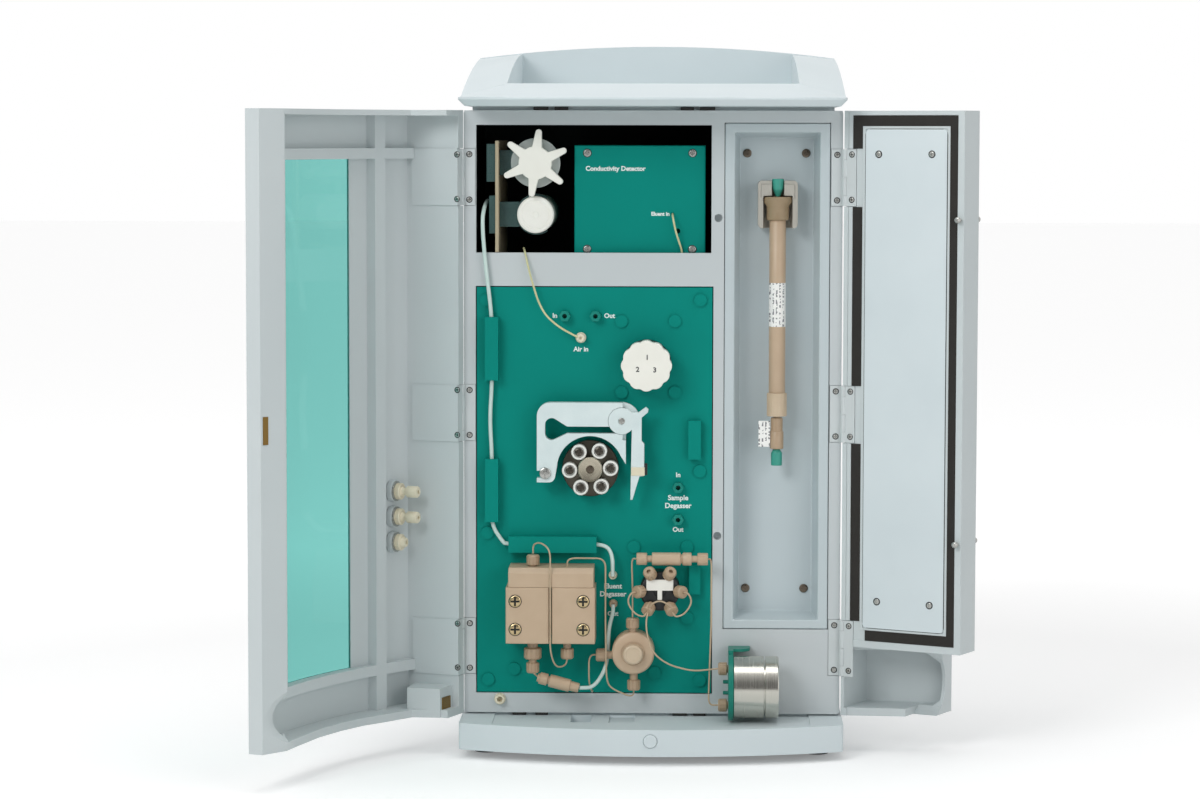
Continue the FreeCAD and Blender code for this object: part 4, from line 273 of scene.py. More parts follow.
# the room is white to the eye and softer as a light; behind the camera it is darker, which metal shows as a band
room = bpy.data.worlds.new("paleRoom")
room.use_nodes = True
background = room.node_tree.nodes["Background"]
background.inputs["Color"].default_value = toLinear("#FFFFFF")
rays = addNode(room, "ShaderNodeLightPath")
toward = addNode(room, "ShaderNodeTexCoord")
sides = addNode(room, "ShaderNodeSeparateXYZ", None, {"Vector": toward.outputs["Generated"]})
studio = addNode(room, "ShaderNodeMapRange", {"From Min": -0.9, "From Max": -0.25, "To Min": roomPlan["behindCamera"],
                                              "To Max": 1.0},
                 {"Value": sides.outputs["Y"]})
level = addNode(room, "ShaderNodeMapRange", {"To Min": roomPlan["diffuse"], "To Max": 1.0},
                {"Value": rays.outputs["Is Glossy Ray"]})
shaded = addNode(room, "ShaderNodeMath", {"operation": "MULTIPLY"},
                 {0: studio.outputs["Result"], 1: level.outputs["Result"]})
direct = addNode(room, "ShaderNodeMath", {"operation": "MAXIMUM"},
                 {0: rays.outputs["Is Camera Ray"], 1: rays.outputs["Is Transmission Ray"]})
strength = addNode(room, "ShaderNodeMix", {"data_type": "FLOAT", 3: 1.0},
                   {0: direct.outputs["Value"], 2: shaded.outputs["Value"]})
room.node_tree.links.new(strength.outputs[0], background.inputs["Strength"])
bpy.context.scene.world = room
bpy.context.scene.view_settings.view_transform = "Standard"
print("stage: camera and light")


# modelling helpers
def deselectAll():
    if bpy.context.object and bpy.context.object.mode != "OBJECT":
        bpy.ops.object.mode_set(mode="OBJECT")
    bpy.ops.object.select_all(action="DESELECT")


def makeActive(piece):
    deselectAll()
    piece.hide_set(False)
    piece.select_set(True)
    bpy.context.view_layer.objects.active = piece


def applyModifier(piece, kind, settings):
    makeActive(piece)
    modifier = piece.modifiers.new(kind.lower(), kind)
    for key, value in settings.items():
        setattr(modifier, key, value)
    bpy.ops.object.modifier_apply(modifier=modifier.name)


def settle(piece):
    makeActive(piece)
    bpy.ops.object.transform_apply(location=True, rotation=True, scale=True)


def smoothPiece(piece):
    makeActive(piece)
    bpy.ops.object.shade_smooth_by_angle(angle=smoothAngle)
    return piece


def softenEdges(piece, bevelMm, segments=2):
    applyModifier(piece, "BEVEL", {"width": bevelMm * mm, "segments": segments, "limit_method": "ANGLE",
                                   "angle_limit": breakAngle, "use_clamp_overlap": True})
    smoothPiece(piece)
    applyModifier(piece, "WEIGHTED_NORMAL", {"keep_sharp": True, "weight": 60})


def addBox(centreMm, sizeMm, turn=0):
    deselectAll()
    bpy.ops.mesh.primitive_cube_add(size=1, location=[value * mm for value in centreMm], rotation=(0, 0, turn),
                                    scale=[value * mm for value in sizeMm])
    box = bpy.context.object
    settle(box)
    return box


def handOver(piece, name, finish, body, stands=()):
    piece.name = name
    piece.data.name = name
    piece.data.materials.clear()
    piece.data.materials.append(finishes[finish])
    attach(piece, body)
    if stands:
        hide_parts(*stands)
    return piece


def dressNode(nodeName, finish, bevelMm, segments):
    # the CAD mesh is loose triangles, so a copy is merged, its flats are joined, and its edges are broken
    piece = bpy.data.objects.new(nodeName + "Dressed", nodes[nodeName].data.copy())
    bpy.context.scene.collection.objects.link(piece)
    makeActive(piece)
    bpy.ops.object.mode_set(mode="EDIT")
    bpy.ops.mesh.select_all(action="SELECT")
    bpy.ops.mesh.remove_doubles(threshold=weldGap)
    bpy.ops.mesh.dissolve_limited(angle_limit=math.radians(0.6))
    bpy.ops.object.mode_set(mode="OBJECT")
    softenEdges(piece, bevelMm, segments)
    handOver(piece, nodeName + "Dressed", finish, bodyOfNode[nodeName], [nodeName])


# node: finish, edge break in mm, segments
dressPlan = {
    "bottle_tray": ("tray", 2.2, 4), "base_tray": ("tray", 1.6, 3), "left_door": ("door", 1.2, 3),
    "right_door": ("door", 1.0, 3), "door_block": ("door", 1.0, 3), "inner_panel": ("innerSheet", 0.5, 2),
    "front_frame": ("cabinet", 0.6, 2), "housing": ("cabinet", 0.6, 2), "rear_panel": ("cabinet", 0.4, 2),
    "column_bay": ("recess", 1.2, 3), "front_panel": ("greenPanel", 0.5, 2), "wet_ports": ("greenPart", 0.3, 2),
    "bay_liner": ("blackBay", 0.3, 1), "detector_module": ("greenPanel", 0.5, 2),
    "bracket_plate": ("creamStrip", 0.4, 2), "cartridge_clips": ("darkClip", 0.4, 2), "star_cap": ("white", 0.9, 3),
    "suppressor_body": ("blackPart", 0.5, 2), "suppressor_knob": ("white", 0.8, 3),
    "tubing_cassette": ("cassetteWhite", 0.7, 3), "cassette_latch": ("cassetteWhite", 0.6, 3),
    "pump_head": ("peek", 0.6, 3), "damper_bracket": ("greenPaint", 0.5, 2), "column_holder": ("holder", 0.6, 3),
    "column_stoppers": ("stopper", 0.4, 2), "column_chip": ("labelPaper", 0.3, 2), "body_hinges": ("leaf", 0.3, 2),
    "left_door_hinges": ("door", 0.25, 2), "right_door_hinges": ("leaf", 0.25, 2), "left_window": ("window", 0.3, 2),
    "door_latch": ("brass", 0.2, 2), "door_gasket": ("gasket", 0.25, 2), "ball_studs": ("screw", 0.1, 1),
    "fluid_drives": ("casting", 0.8, 2), "electronics": ("board", 0.3, 1), "power_inlet": ("blackPart", 0.4, 2),
    "fan_housing": ("blackPart", 0.4, 2), "fan_rotor": ("blackPart", 0.3, 2), "standby_button": ("tray", 0.3, 2),
    "feet": ("rubber", 1.0, 2),
}
for nodeName, (finish, bevelMm, segments) in dressPlan.items():
    dressNode(nodeName, finish, bevelMm, segments)
print("stage: dressed", len(dressPlan))


# round pieces: one ring after another, grown along +Z and then laid on their axis
def latheRings(name, rings, segments=48, closed=True):
    deselectAll()
    firstRadius, firstHeight = rings[0]
    fill = "NGON" if closed else "NOTHING"
    bpy.ops.mesh.primitive_circle_add(vertices=segments, radius=firstRadius * mm, fill_type=fill,
                                      location=(0, 0, firstHeight * mm))
    piece = bpy.context.object
    piece.name = name
    settle(piece)
    bpy.ops.object.mode_set(mode="EDIT")
    bpy.ops.mesh.select_all(action="SELECT")
    radius, height = firstRadius, firstHeight
    grow = bpy.ops.mesh.extrude_region_move if closed else bpy.ops.mesh.extrude_edges_move
    for nextRadius, nextHeight in rings[1:]:
        grow(TRANSFORM_OT_translate={"value": (0, 0, (nextHeight - height) * mm)})
        if abs(nextRadius - radius) > 0.0001:
            ratio = nextRadius / radius
            bpy.ops.transform.resize(value=(ratio, ratio, 1), center_override=(0, 0, nextHeight * mm))
        radius, height = nextRadius, nextHeight
    bpy.ops.mesh.select_all(action="SELECT")
    bpy.ops.mesh.remove_doubles(threshold=0.000005)
    bpy.ops.mesh.normals_make_consistent(inside=False)
    bpy.ops.object.mode_set(mode="OBJECT")
    return piece


def layAlong(piece, start, axis):
    piece.rotation_mode = "QUATERNION"
    piece.rotation_quaternion = Vector(axis).to_track_quat("Z", "Y")
    piece.location = [value * mm for value in start]
    settle(piece)
    piece.rotation_mode = "XYZ"
    return piece


def copyPiece(piece, name):
    twin = piece.copy()
    twin.data = piece.data.copy()
    twin.name = name
    bpy.context.scene.collection.objects.link(twin)
    return twin


def selectFaces(piece, test):
    makeActive(piece)
    bpy.ops.object.mode_set(mode="EDIT")
    bpy.ops.mesh.select_mode(type="FACE")
    bpy.ops.mesh.select_all(action="DESELECT")
    mesh = bmesh.from_edit_mesh(piece.data)
    mesh.faces.ensure_lookup_table()
    for face in mesh.faces:
        face.select_set(test(face))
    bmesh.update_edit_mesh(piece.data)


def fluteBarrel(piece, low, high, count, deepMm):
    # every other flat of the barrel is inset and pushed in
    step = 2 * math.pi / count

    def isGroove(face):
        centre = face.calc_center_median() / mm
        if not low < centre.z < high or abs(face.normal.z) > 0.3:
            return False
        turn = math.atan2(centre.y, centre.x) % step
        return turn < step * 0.45
    selectFaces(piece, isGroove)
    bpy.ops.mesh.inset(thickness=0.12 * mm, depth=-deepMm * mm, use_individual=False)
    bpy.ops.object.mode_set(mode="OBJECT")


def turnPiece(name, plan, sides, start, axis, body, stands):
    piece = latheRings(name, plan["rings"], sides)
    for flutes in plan.get("flutes", ()):
        fluteBarrel(piece, *flutes)
    smoothPiece(layAlong(piece, start, axis))
    handOver(piece, name, plan["finish"], body, stands)


def socketHead(name, radiusMm, heightMm, armMm, widthMm, recessMm):
    # a low turned head with a cross cut into it
    head = latheRings(name, [(radiusMm * 0.96, 0), (radiusMm, 0.12 * heightMm), (radiusMm, 0.6 * heightMm),
                             (radiusMm * 0.93, 0.88 * heightMm), (radiusMm * 0.8, heightMm)], 32)
    for turn in (0, math.radians(90)):
        bar = addBox((0, 0, heightMm), (2 * armMm, widthMm, 2 * recessMm), turn)
        applyModifier(head, "BOOLEAN", {"operation": "DIFFERENCE", "solver": "EXACT", "object": bar})
        bpy.data.objects.remove(bar)
    return smoothPiece(head)


def frameFromPlane(plane, widthMm, deep, cornerMm=0):
    # a flat plane becomes a narrow frame: rounded corners, an inset, the middle taken out, then a small depth
    settle(plane)
    bpy.ops.object.mode_set(mode="EDIT")
    bpy.ops.mesh.select_all(action="SELECT")
    if cornerMm:
        bpy.ops.mesh.bevel(offset=cornerMm * mm, segments=6, affect="VERTICES")
        bpy.ops.mesh.select_all(action="SELECT")
    bpy.ops.mesh.inset(thickness=widthMm * mm)
    bpy.ops.mesh.delete(type="FACE")
    bpy.ops.mesh.select_all(action="SELECT")
    bpy.ops.mesh.extrude_region_move(TRANSFORM_OT_translate={"value": [value * mm for value in deep]})
    bpy.ops.mesh.select_all(action="SELECT")
    bpy.ops.mesh.normals_make_consistent(inside=False)
    bpy.ops.object.mode_set(mode="OBJECT")


# screws of the cabinet: one head of each size (radius, height, cross arm, width, depth in mm), copied to its places
facing = (0, -1, 0)
doorFacing = (-0.4695, -0.8829, 0)
screwPlan = {
    "hingeScrew": {"head": (2.2, 0.9, 1.4, 0.6, 0.7), "finish": "screw", "back": 0.0,
                   "places": [(-175.1, 79.1), (-175.1, 122.3), (-175.1, 304.2), (-175.1, 347.4), (-175.1, 529.5),
                              (-175.1, 572.7), (175.1, 79.1), (175.1, 122.3), (175.1, 304.2), (175.1, 347.4),
                              (175.1, 529.5), (175.1, 572.7)]},
    "baySheetScrew": {"head": (4.2, 1.4, 2.0, 0.9, 0.9), "finish": "darkScrew", "back": 34.0,
                      "places": [(90.0, 153.5), (146.5, 153.5), (90.0, 574.0), (146.5, 574.0)]},
    "detectorScrew": {"head": (3.6, 1.2, 2.3, 0.8, 0.8), "finish": "screw", "back": 12.0,
                      "places": [(-63.0, 574.0), (-63.0, 482.2), (37.6, 574.0), (37.6, 482.2)]},
    "pumpScrew": {"head": (5.6, 1.6, 4.4, 1.9, 1.5), "finish": "creamScrew", "back": -42.0,
                  "places": [(-129.3, 122.5), (-129.3, 149.4), (-64.7, 122.5), (-64.7, 149.4)]},
    "cassetteScrew": {"head": (5.6, 2.6, 4.6, 1.0, 0.9), "finish": "screw", "back": -24.0,
                      "places": [(-101.6, 269.9)]},
}
for screwName, plan in screwPlan.items():
    first = socketHead(screwName, *plan["head"])
    for number, (x, z) in enumerate(plan["places"]):
        head = copyPiece(first, "%s_%d" % (screwName, number + 1))
        layAlong(head, (x, plan["back"], z), facing)
        handOver(head, head.name, plan["finish"], "cabinet", ["screws"])
    bpy.data.objects.remove(first)
# screws of the doors' leaves and sheet, and thin dark rings of painted shade round all the screws
leftFacing = (-0.3746, -0.9272, 0)
doorScrews = {
    "innerSheetScrew": {"head": (2.7, 0.9, 1.4, 0.6, 0.6), "rim": 3.6, "axis": doorFacing, "body": "door_right",
                        "places": [(213.27, -21.85, 573.45), (261.66, -47.58, 573.69), (214.42, -22.46, 148.29),
                                   (262.74, -48.16, 148.3)]},
    "rightLeafScrew": {"head": (2.2, 0.3, 1.4, 0.6, 0.25), "rim": 3.0, "axis": doorFacing, "body": "door_right",
                       "places": [(188.61, -8.4, 573.1), (188.61, -8.4, 530.2), (188.61, -8.4, 347.8),
                                  (188.61, -8.4, 304.6), (188.61, -8.4, 122.7), (188.61, -8.4, 79.5)]},
    "leftLeafScrew": {"head": (2.2, 0.3, 1.4, 0.6, 0.25), "rim": 3.0, "axis": leftFacing, "body": "door_left",
                      "places": [(-185.9, -15.0, 572.5), (-185.9, -15.0, 530.3), (-185.9, -15.0, 348.5),
                                 (-185.9, -15.0, 305.4), (-185.9, -15.0, 124.0), (-185.9, -15.0, 81.5)]},
    "hingeRim": {"head": None, "rim": 3.0, "axis": facing, "body": "cabinet",
                 "places": [(x, 0.0, z) for x, z in screwPlan["hingeScrew"]["places"]]},
    "pumpRim": {"head": None, "rim": 6.3, "axis": facing, "body": "cabinet",
                "places": [(x, -42.0, z) for x, z in screwPlan["pumpScrew"]["places"]]},
    "detectorRim": {"head": None, "rim": 4.2, "axis": facing, "body": "cabinet",
                    "places": [(x, 12.0, z) for x, z in screwPlan["detectorScrew"]["places"]]},
}
for screwName, plan in doorScrews.items():
    first = socketHead(screwName, *plan["head"]) if plan["head"] else None
    # a near-black disc a little wider than each head: painted shade round the screw
    rim = smoothPiece(latheRings("rimPattern", [(plan["rim"], 0), (plan["rim"], 0.12), (plan["rim"] - 0.3, 0.2),
                                                (1.2, 0.2)], 32))
    for number, place in enumerate(plan["places"]):
        pair = [("%sSeat_%d" % (screwName, number + 1), rim, "paintedShade")]
        if first:
            pair.append(("%s_%d" % (screwName, number + 1), first, "screw"))
        for partName, pattern, finish in pair:
            head = layAlong(copyPiece(pattern, partName), place, plan["axis"])
            handOver(head, partName, finish, plan["body"])
    for pattern in (rim, first):
        if pattern:
            bpy.data.objects.remove(pattern)
pinPlan = {"cassettePivot": ((-101.6, 0, 269.9), [(3.0, 0), (3.0, 23.8), (2.7, 24.2)]),
           "catchPin": ((-12.3, 0, 271.8), [(4.5, 0), (4.5, 12.2), (3.9, 13.0)])}
for pinName, (start, rings) in pinPlan.items():
    pin = smoothPiece(layAlong(latheRings(pinName, rings, 32), start, facing))
    handOver(pin, pinName, "screw", "cabinet", ["screws"])
print("stage: screws")

# fluted nuts of the liquid path
nutPlan = {  # start, axis, length of the nose, length and radius of the barrel
    "pumpTopNut": ((-113.1, -24, 181), (0, 0, 1), 1.0, 10, 6.2),
    "pumpLowNut": ((-80.4, -24, 108.6), (0, 0, -1), 6.5, 10, 6.2),
    "pumpInletNut": ((-113.4, -24, 108.6), (0, 0, -1), 6.0, 11, 8.4),
    "pumpInletTip": ((-113.4, -24, 91.6), (0, 0, -1), 3.2, 10, 6.2),
    "purgeSideNut": ((-37.8, -18, 95), (-1, 0, 0), 5.3, 10, 6.2),
    "purgeTopNut": ((-18.1, -18, 117.9), (0, 0, 1), 3.0, 10, 6.2),
    "purgeLowNut": ((-16.9, -18, 77.3), (0, 0, -1), 6.0, 10, 6.2),
    "damperHighNut": ((73.4, -31, 84.3), (-1, 0, 0), 1.1, 8.5, 6.2),
    "damperLowNut": ((73.4, -31, 49.3), (-1, 0, 0), 1.1, 8.5, 6.2),
}
valveNutPlan = {"centre": (7.9, -21.0, 157.2), "reach": 15.5, "turns": (0, 62, 118, 180, 237, 303),
                "lean": (0.6, -0.8)}
boreMm, wideBoreMm = 1.15, 2.1
(valveX, valveY, valveZ), reach, (lean, out) = (valveNutPlan[key] for key in ("centre", "reach", "lean"))
for number, turn in enumerate(valveNutPlan["turns"]):
    east, north = math.cos(math.radians(turn)), math.sin(math.radians(turn))
    nutPlan["valveNut_%d" % (number + 1)] = ((valveX + reach * east, valveY, valveZ + reach * north),
                                              (east * lean, out, north * lean), 3.0, 9.0, 6.0)
for nutName, (start, axis, nose, length, radius) in nutPlan.items():
    bore = wideBoreMm if nutName in ("valveNut_2", "valveNut_3") else boreMm
    end = nose + length
    nut = latheRings(nutName, [(radius * 0.6, 0), (radius * 0.6, nose), (radius * 0.86, nose), (radius, nose + 0.7),
                               (radius, end - 1.4), (radius * 0.82, end), (bore, end), (bore, end - 3.0)], 36)
    fluteBarrel(nut, nose + 0.9, end - 1.5, 12, 0.42)
    smoothPiece(layAlong(nut, start, axis))
    handOver(nut, nutName, "peekShaded", "cabinet", ["peek_fittings"])
collarPlan = {  # start, length, radius, bore, finish
    "eluentCollar": ((-37.4, 0, 170.1), 11.0, 4.0, 2.2, "creamNut"),
    "degasserCollar": ((-37.0, 0, 142.4), 9.0, 4.0, 2.2, "peekShaded"),
    "airCollar": ((-68.4, 0, 398.2), 9.0, 5.0, 1.4, "creamNut"),
}
for collarName, (start, length, radius, bore, finish) in collarPlan.items():
    collar = latheRings(collarName, [(radius * 0.9, 0), (radius, 0.6), (radius, length * 0.45),
                                     (radius * 0.86, length * 0.5), (radius * 0.86, length - 0.8),
                                     (radius * 0.74, length), (bore, length), (bore, length - 2.0)], 36)
    smoothPiece(layAlong(collar, start, facing))
    handOver(collar, collarName, finish, "cabinet", ["peek_fittings"])
drainPlan = {"finish": "creamNut", "start": (-146, 0, 49.4),
             "rings": [(5.4, 0), (5.4, 3.0), (4.9, 3.4), (4.7, 6.1), (4.3, 6.5), (2.9, 6.5), (2.4, 5.0), (2.4, 0.5)]}
turnPiece("drainNipple", drainPlan, 40, drainPlan["start"], facing, "cabinet", ["drain_nipple"])
print("stage: nuts")

# capillaries and tubes: one smooth curve each, through the same points as the CAD ones
tubePlan = {
    "capillary": {
        "radius": 0.8, "bend": 9, "finish": "capillary", "slot": "capillary_peek", "node": "capillaries", "routes": [
        [(-113.1, -24, 193), (-113.1, -24, 202), (-105.4, -33, 205), (-95.9, -43.2, 199), (-95.9, -43.2, 100.6),
         (-90.9, -34, 84.6), (-80.9, -24, 85.6), (-80.4, -24, 97.6)],
        [(-80.4, -26, 179), (-80.4, -26, 189), (-43.9, -26, 189), (-43.9, -26, 128.6), (-42.9, -26, 73.6),
         (-39.4, -22, 63.6), (-16.9, -18, 53.6), (-16.9, -18, 64.8)],
        [(-113.4, -24, 84.1), (-113.4, -24, 78.6), (-108.2, -24, 74.4)],
        [(-50.4, -18, 95), (-59.8, -18, 95), (-59.8, -18, 67.6), (-56.8, -12, 57.6), (-56.8, 0, 57.6)],
        [(-18.1, -18, 130.4), (-18.1, -18, 157.6), (-19.1, -20, 188.2), (-14.5, -22, 188.2)],
        [(53.5, -22, 188.2), (57, -22, 188.2), (57, -26, 126.8), (54.5, -31, 49.3), (63.6, -31, 49.3)],
        [(-14.5, -30.2, 157.2), (-19.6, -34.4, 157.2), (-23.1, -35, 148.2), (-16.1, -35, 137.2), (-7.1, -34.4, 133.7),
         (-4.1, -30.2, 138.7)],
        [(30.3, -30.2, 157.2), (35.4, -34.4, 157.2), (38.9, -35, 148.2), (31.9, -35, 137.2), (22.9, -34.4, 133.7),
         (19.9, -30.2, 138.7)],
        [(-3.1, -29, 140.2), (-1.1, -37, 146.2), (7.9, -38, 150.7), (16.9, -37, 146.2), (18.9, -29, 140.2)],
        [(-2.9, -29.4, 139), (-5.1, -36, 130.2), (-4.1, -37, 117.2), (1.9, -37, 99.2), (16.9, -36, 88.2),
         (39.9, -34, 82.2), (63.6, -31, 84.3)]]},
    "wideTube": {
        "radius": 1.9, "bend": 24, "finish": "tube", "slot": "white_tube", "node": "supply_tubes", "routes": [
        [(-159.9, 30, 528), (-160.9, 2, 523), (-162.7, -5, 509), (-159.9, -6, 471), (-153.4, -6, 420),
         (-153.4, -6, 388)],
        [(-153.4, -6, 377.4), (-153.4, -6, 352.4), (-155.4, -6, 319.7), (-153.4, -6, 287), (-153.4, -6, 262)],
        [(-153.4, -6, 239.4), (-153.4, -6, 217.4), (-143.3, -6, 202.5), (-140.3, -6, 200), (-119.3, -6, 200)],
        [(-70.9, -6, 200), (-43.9, -6, 200), (-37.4, -13, 190), (-37.4, -12, 170.1)],
        [(-68.8, -24, 64), (-54.4, -22, 64), (-41.8, -10, 84.6), (-41.5, -9, 118.6), (-37, -8, 134.4),
         (-37, -8, 142.4)]]},
    "thinTube": {
        "radius": 1.0, "bend": 18, "finish": "creamTube", "slot": "white_tube", "node": "supply_tubes", "routes": [
        [(-123.6, 9, 483), (-122.1, -2, 480.5), (-116.6, -8, 457), (-106.1, -10, 424.2), (-90.4, -11, 409.2),
         (-71.6, -10, 399.2)],
        [(18.6, 20, 515.9), (18.6, 3, 515.9), (21.1, 2, 501.9), (25.1, 6.5, 488.9), (27.6, 10, 482),
         (28.1, 10, 471)]]},
}


def roundCorners(route, reachMm, steps=8):
    # each corner of the route becomes a short bow that starts and ends the given way along its two legs
    corners = [Vector(place) * mm for place in route]
    path = [corners[0]]
    for before, corner, after in zip(corners, corners[1:], corners[2:]):
        reach = [min(reachMm * mm, 0.48 * (end - corner).length) for end in (before, after)]
        enter = corner + (before - corner).normalized() * reach[0]
        leave = corner + (after - corner).normalized() * reach[1]
        for step in range(steps + 1):
            way = step / steps
            path.append(enter.lerp(corner, way).lerp(corner.lerp(leave, way), way))
    return path + [corners[-1]]


for kind, plan in tubePlan.items():
    for number, route in enumerate(plan["routes"]):
        deselectAll()
        bpy.ops.curve.primitive_bezier_curve_add(location=(0, 0, 0))
        bow = bpy.context.object
        bow.data.splines.clear()
        path = roundCorners(route, plan["bend"])
        run = bow.data.splines.new("POLY")
        run.points.add(len(path) - 1)
        for point, place in zip(run.points, path):
            point.co = (*place, 1.0)
        bow.data.bevel_depth = plan["radius"] * mm
        bow.data.bevel_resolution = 4
        bow.data.use_fill_caps = True
        bpy.ops.object.convert(target="MESH")
        bow = bpy.context.object
        bpy.ops.object.shade_smooth()
        handOver(bow, "%s_%d" % (kind, number + 1), plan["finish"], "cabinet", [plan["node"]])
print("stage: tubes")

# cassette latch: cream bar, black thumb block and pivot dot, which all turn with it
latchPlan = {"latchBar": {"place": (-13.3, -24.3, 272.0), "size": (13.0, 1.0, 8.0), "bevel": 0.35, "finish": "cream"},
             "latchThumb": {"place": (-5.9, -20.6, 274.0), "size": (3.2, 6.0, 11.0), "bevel": 0.5,
                            "finish": "blackPart"}}
for latchName, plan in latchPlan.items():
    piece = addBox(plan["place"], plan["size"])
    softenEdges(piece, plan["bevel"], 3)
    handOver(piece, latchName, plan["finish"], "latch")
dot = layAlong(socketHead("latchPivot", 3.0, 0.8, 1.8, 0.6, 0.5), (-28.9, -24.0, 320.0), facing)
handOver(dot, "latchPivot", "screw", "latch")
print("stage: latch")

# pulsation damper, purge valve and its knob, injection valve with its white marker, then the two filters
fluidPlan = {
    "damperBody": {"finish": "damper", "sides": 96, "start": (78.2, -31, 66.8), "axis": (1, 0, 0), "node": "damper",
                   "slot": "stainless",
                   "rings": [(28.9, 0), (29.6, 0.7), (29.6, 28.7), (29.3, 29.0), (25.6, 29.0), (25.6, 30.3),
                             (29.3, 30.3), (29.6, 30.6), (29.6, 41.9), (28.8, 42.9), (21.0, 42.9), (20.4, 42.4),
                             (19.8, 42.4)]},
    "purgeBody": {"finish": "peek", "sides": 72, "start": (-17.5, 0, 97.6), "node": "purge_valve", "slot": "peek",
                  "rings": [(20.3, 0), (20.3, 23.9), (19.6, 25.2), (18.2, 26.0), (11.4, 26.0), (11.0, 25.6),
                            (10.2, 25.6)]},
    "purgeKnob": {"finish": "peekPale", "sides": 56, "start": (-17.5, -26.3, 97.6), "node": "purge_knob",
                  "slot": "peek_fitting", "body": "purge_dial",
                  "rings": [(8.9, 0), (9.4, 0.5), (9.4, 7.4), (9.0, 8.4), (8.0, 9.0), (6.6, 9.0), (6.2, 8.6)]},
    "valveBody": {"finish": "blackPart", "sides": 72, "start": (7.9, 0, 157.2), "node": "injection_valve",
                  "slot": "black_plastic",
                  "rings": [(19.0, 0), (19.0, 20.2), (18.4, 21.2), (17.0, 22.0), (6.0, 22.0), (5.4, 21.2)]},
}
for pieceName, plan in fluidPlan.items():
    turnPiece(pieceName, plan, plan["sides"], plan["start"], plan.get("axis", facing), plan.get("body", "cabinet"),
              [plan["node"]])
markerPlan = {"bar": ((7.9, -23.2, 163.2), (25.8, 2.3, 10.6)), "stem": ((7.9, -23.2, 153.6), (4.6, 2.3, 9.0))}
bars = [addBox(place, size) for place, size in markerPlan.values()]
deselectAll()
for bar in bars:
    bar.select_set(True)
bpy.context.view_layer.objects.active = bars[0]
bpy.ops.object.join()
marker = bpy.context.object
softenEdges(marker, 0.5)
handOver(marker, "valveMarker", "whiteGloss", "cabinet", ["injection_valve"])
filterPlan = {
    "lineFilter": {"finish": "peek", "start": (-14.5, -22, 188.2), "axis": (1, 0, 0),
                   "flutes": [(0.8, 9.3, 10, 0.4), (58.9, 67.3, 10, 0.4)],
                   "rings": [(5.2, 0), (5.9, 0.7), (5.9, 9.4), (5.2, 10.2), (3.2, 10.2), (3.2, 14.8), (5.7, 14.8),
                             (6.2, 15.4), (6.2, 41.6), (5.7, 42.2), (4.4, 42.6), (4.4, 43.6), (5.6, 44.0),
                             (6.2, 44.8), (6.2, 51.8), (5.6, 52.6), (3.2, 52.7), (3.2, 58.1), (5.3, 58.1),
                             (5.9, 58.8), (5.9, 67.4), (5.2, 68.2)]},
    "inletFilter": {"finish": "peek", "start": (-108.9, -24, 74.0), "axis": (0.96815, 0, -0.25038),
                    "flutes": [(2.7, 9.3, 10, 0.4)],
                    "rings": [(3.6, 0), (4.2, 0.5), (4.2, 1.9), (5.3, 2.0), (5.8, 2.6), (5.8, 9.4), (5.2, 10.0),
                              (4.0, 10.0), (4.0, 11.8), (5.6, 11.8), (6.1, 12.4), (6.1, 31.6), (5.6, 32.2),
                              (4.7, 32.3), (4.7, 40.2), (4.2, 40.9)]},
}
for pieceName, plan in filterPlan.items():
    turnPiece(pieceName, plan, 40, plan["start"], plan["axis"], "cabinet", ["inline_filters"])
print("stage: liquid path")

# peristaltic rotor, its rollers and their pins
rotorPlan = {"x": -58.8, "z": 273.8, "rollerRing": 19.5, "firstTurn": 3, "rollers": 6, "rollerBack": -12.3,
             "pinBack": -23.4, "screwBack": -23.2}
rotorPieces = {
    # the plate takes the darkened rotor steel: painted shade behind the rollers
    "rotorPlate": {"finish": "rotorShaded", "sides": 72,
                   "rings": [(26.4, 7.0), (27.0, 7.6), (27.0, 11.5), (26.5, 12.0), (12.4, 12.0), (11.9, 12.3)]},
    "rotorHub": {"finish": "rotor", "sides": 56,
                 "rings": [(11.7, 12.0), (11.7, 25.2), (10.9, 26.0), (4.6, 25.5), (4.1, 25.5), (4.0, 23.2)]},
}
rollerRings = [(2.65, 0), (6.7, 0), (7.3, 0.6), (7.3, 11.9), (6.6, 12.6), (5.4, 12.6), (5.2, 12.2), (5.2, 9.8),
               (2.65, 9.8), (2.65, 0)]
for pieceName, plan in rotorPieces.items():
    turnPiece(pieceName, plan, plan["sides"], (rotorPlan["x"], 0, rotorPlan["z"]), facing, "rotor",
              ["pump_rotor"])
hubScrew = socketHead("rotorHubScrew", 3.7, 1.4, 2.0, 0.9, 0.8)
layAlong(hubScrew, (rotorPlan["x"], rotorPlan["screwBack"], rotorPlan["z"]), facing)
handOver(hubScrew, "rotorHubScrew", "darkScrew", "rotor")
firstRoller = smoothPiece(latheRings("rollerPattern", rollerRings, 44, closed=False))
firstPin = socketHead("rollerPinPattern", 4.0, 2.2, 3.2, 1.4, 1.6)
for number in range(rotorPlan["rollers"]):
    turn = math.radians(rotorPlan["firstTurn"] + 360 / rotorPlan["rollers"] * number)
    x = rotorPlan["x"] + rotorPlan["rollerRing"] * math.cos(turn)
    z = rotorPlan["z"] + rotorPlan["rollerRing"] * math.sin(turn)
    ring = layAlong(copyPiece(firstRoller, "rollerRing_%d" % (number + 1)), (x, rotorPlan["rollerBack"], z), facing)
    handOver(ring, ring.name, "roller", "roller_body_%d" % (number + 1), ["roller_%d" % (number + 1)])
    pin = layAlong(copyPiece(firstPin, "rollerPin_%d" % (number + 1)), (x, rotorPlan["pinBack"], z), facing)
    handOver(pin, pin.name, "pinMetal", "rotor")
for pattern in (firstRoller, firstPin):
    bpy.data.objects.remove(pattern)
print("stage: rotor")

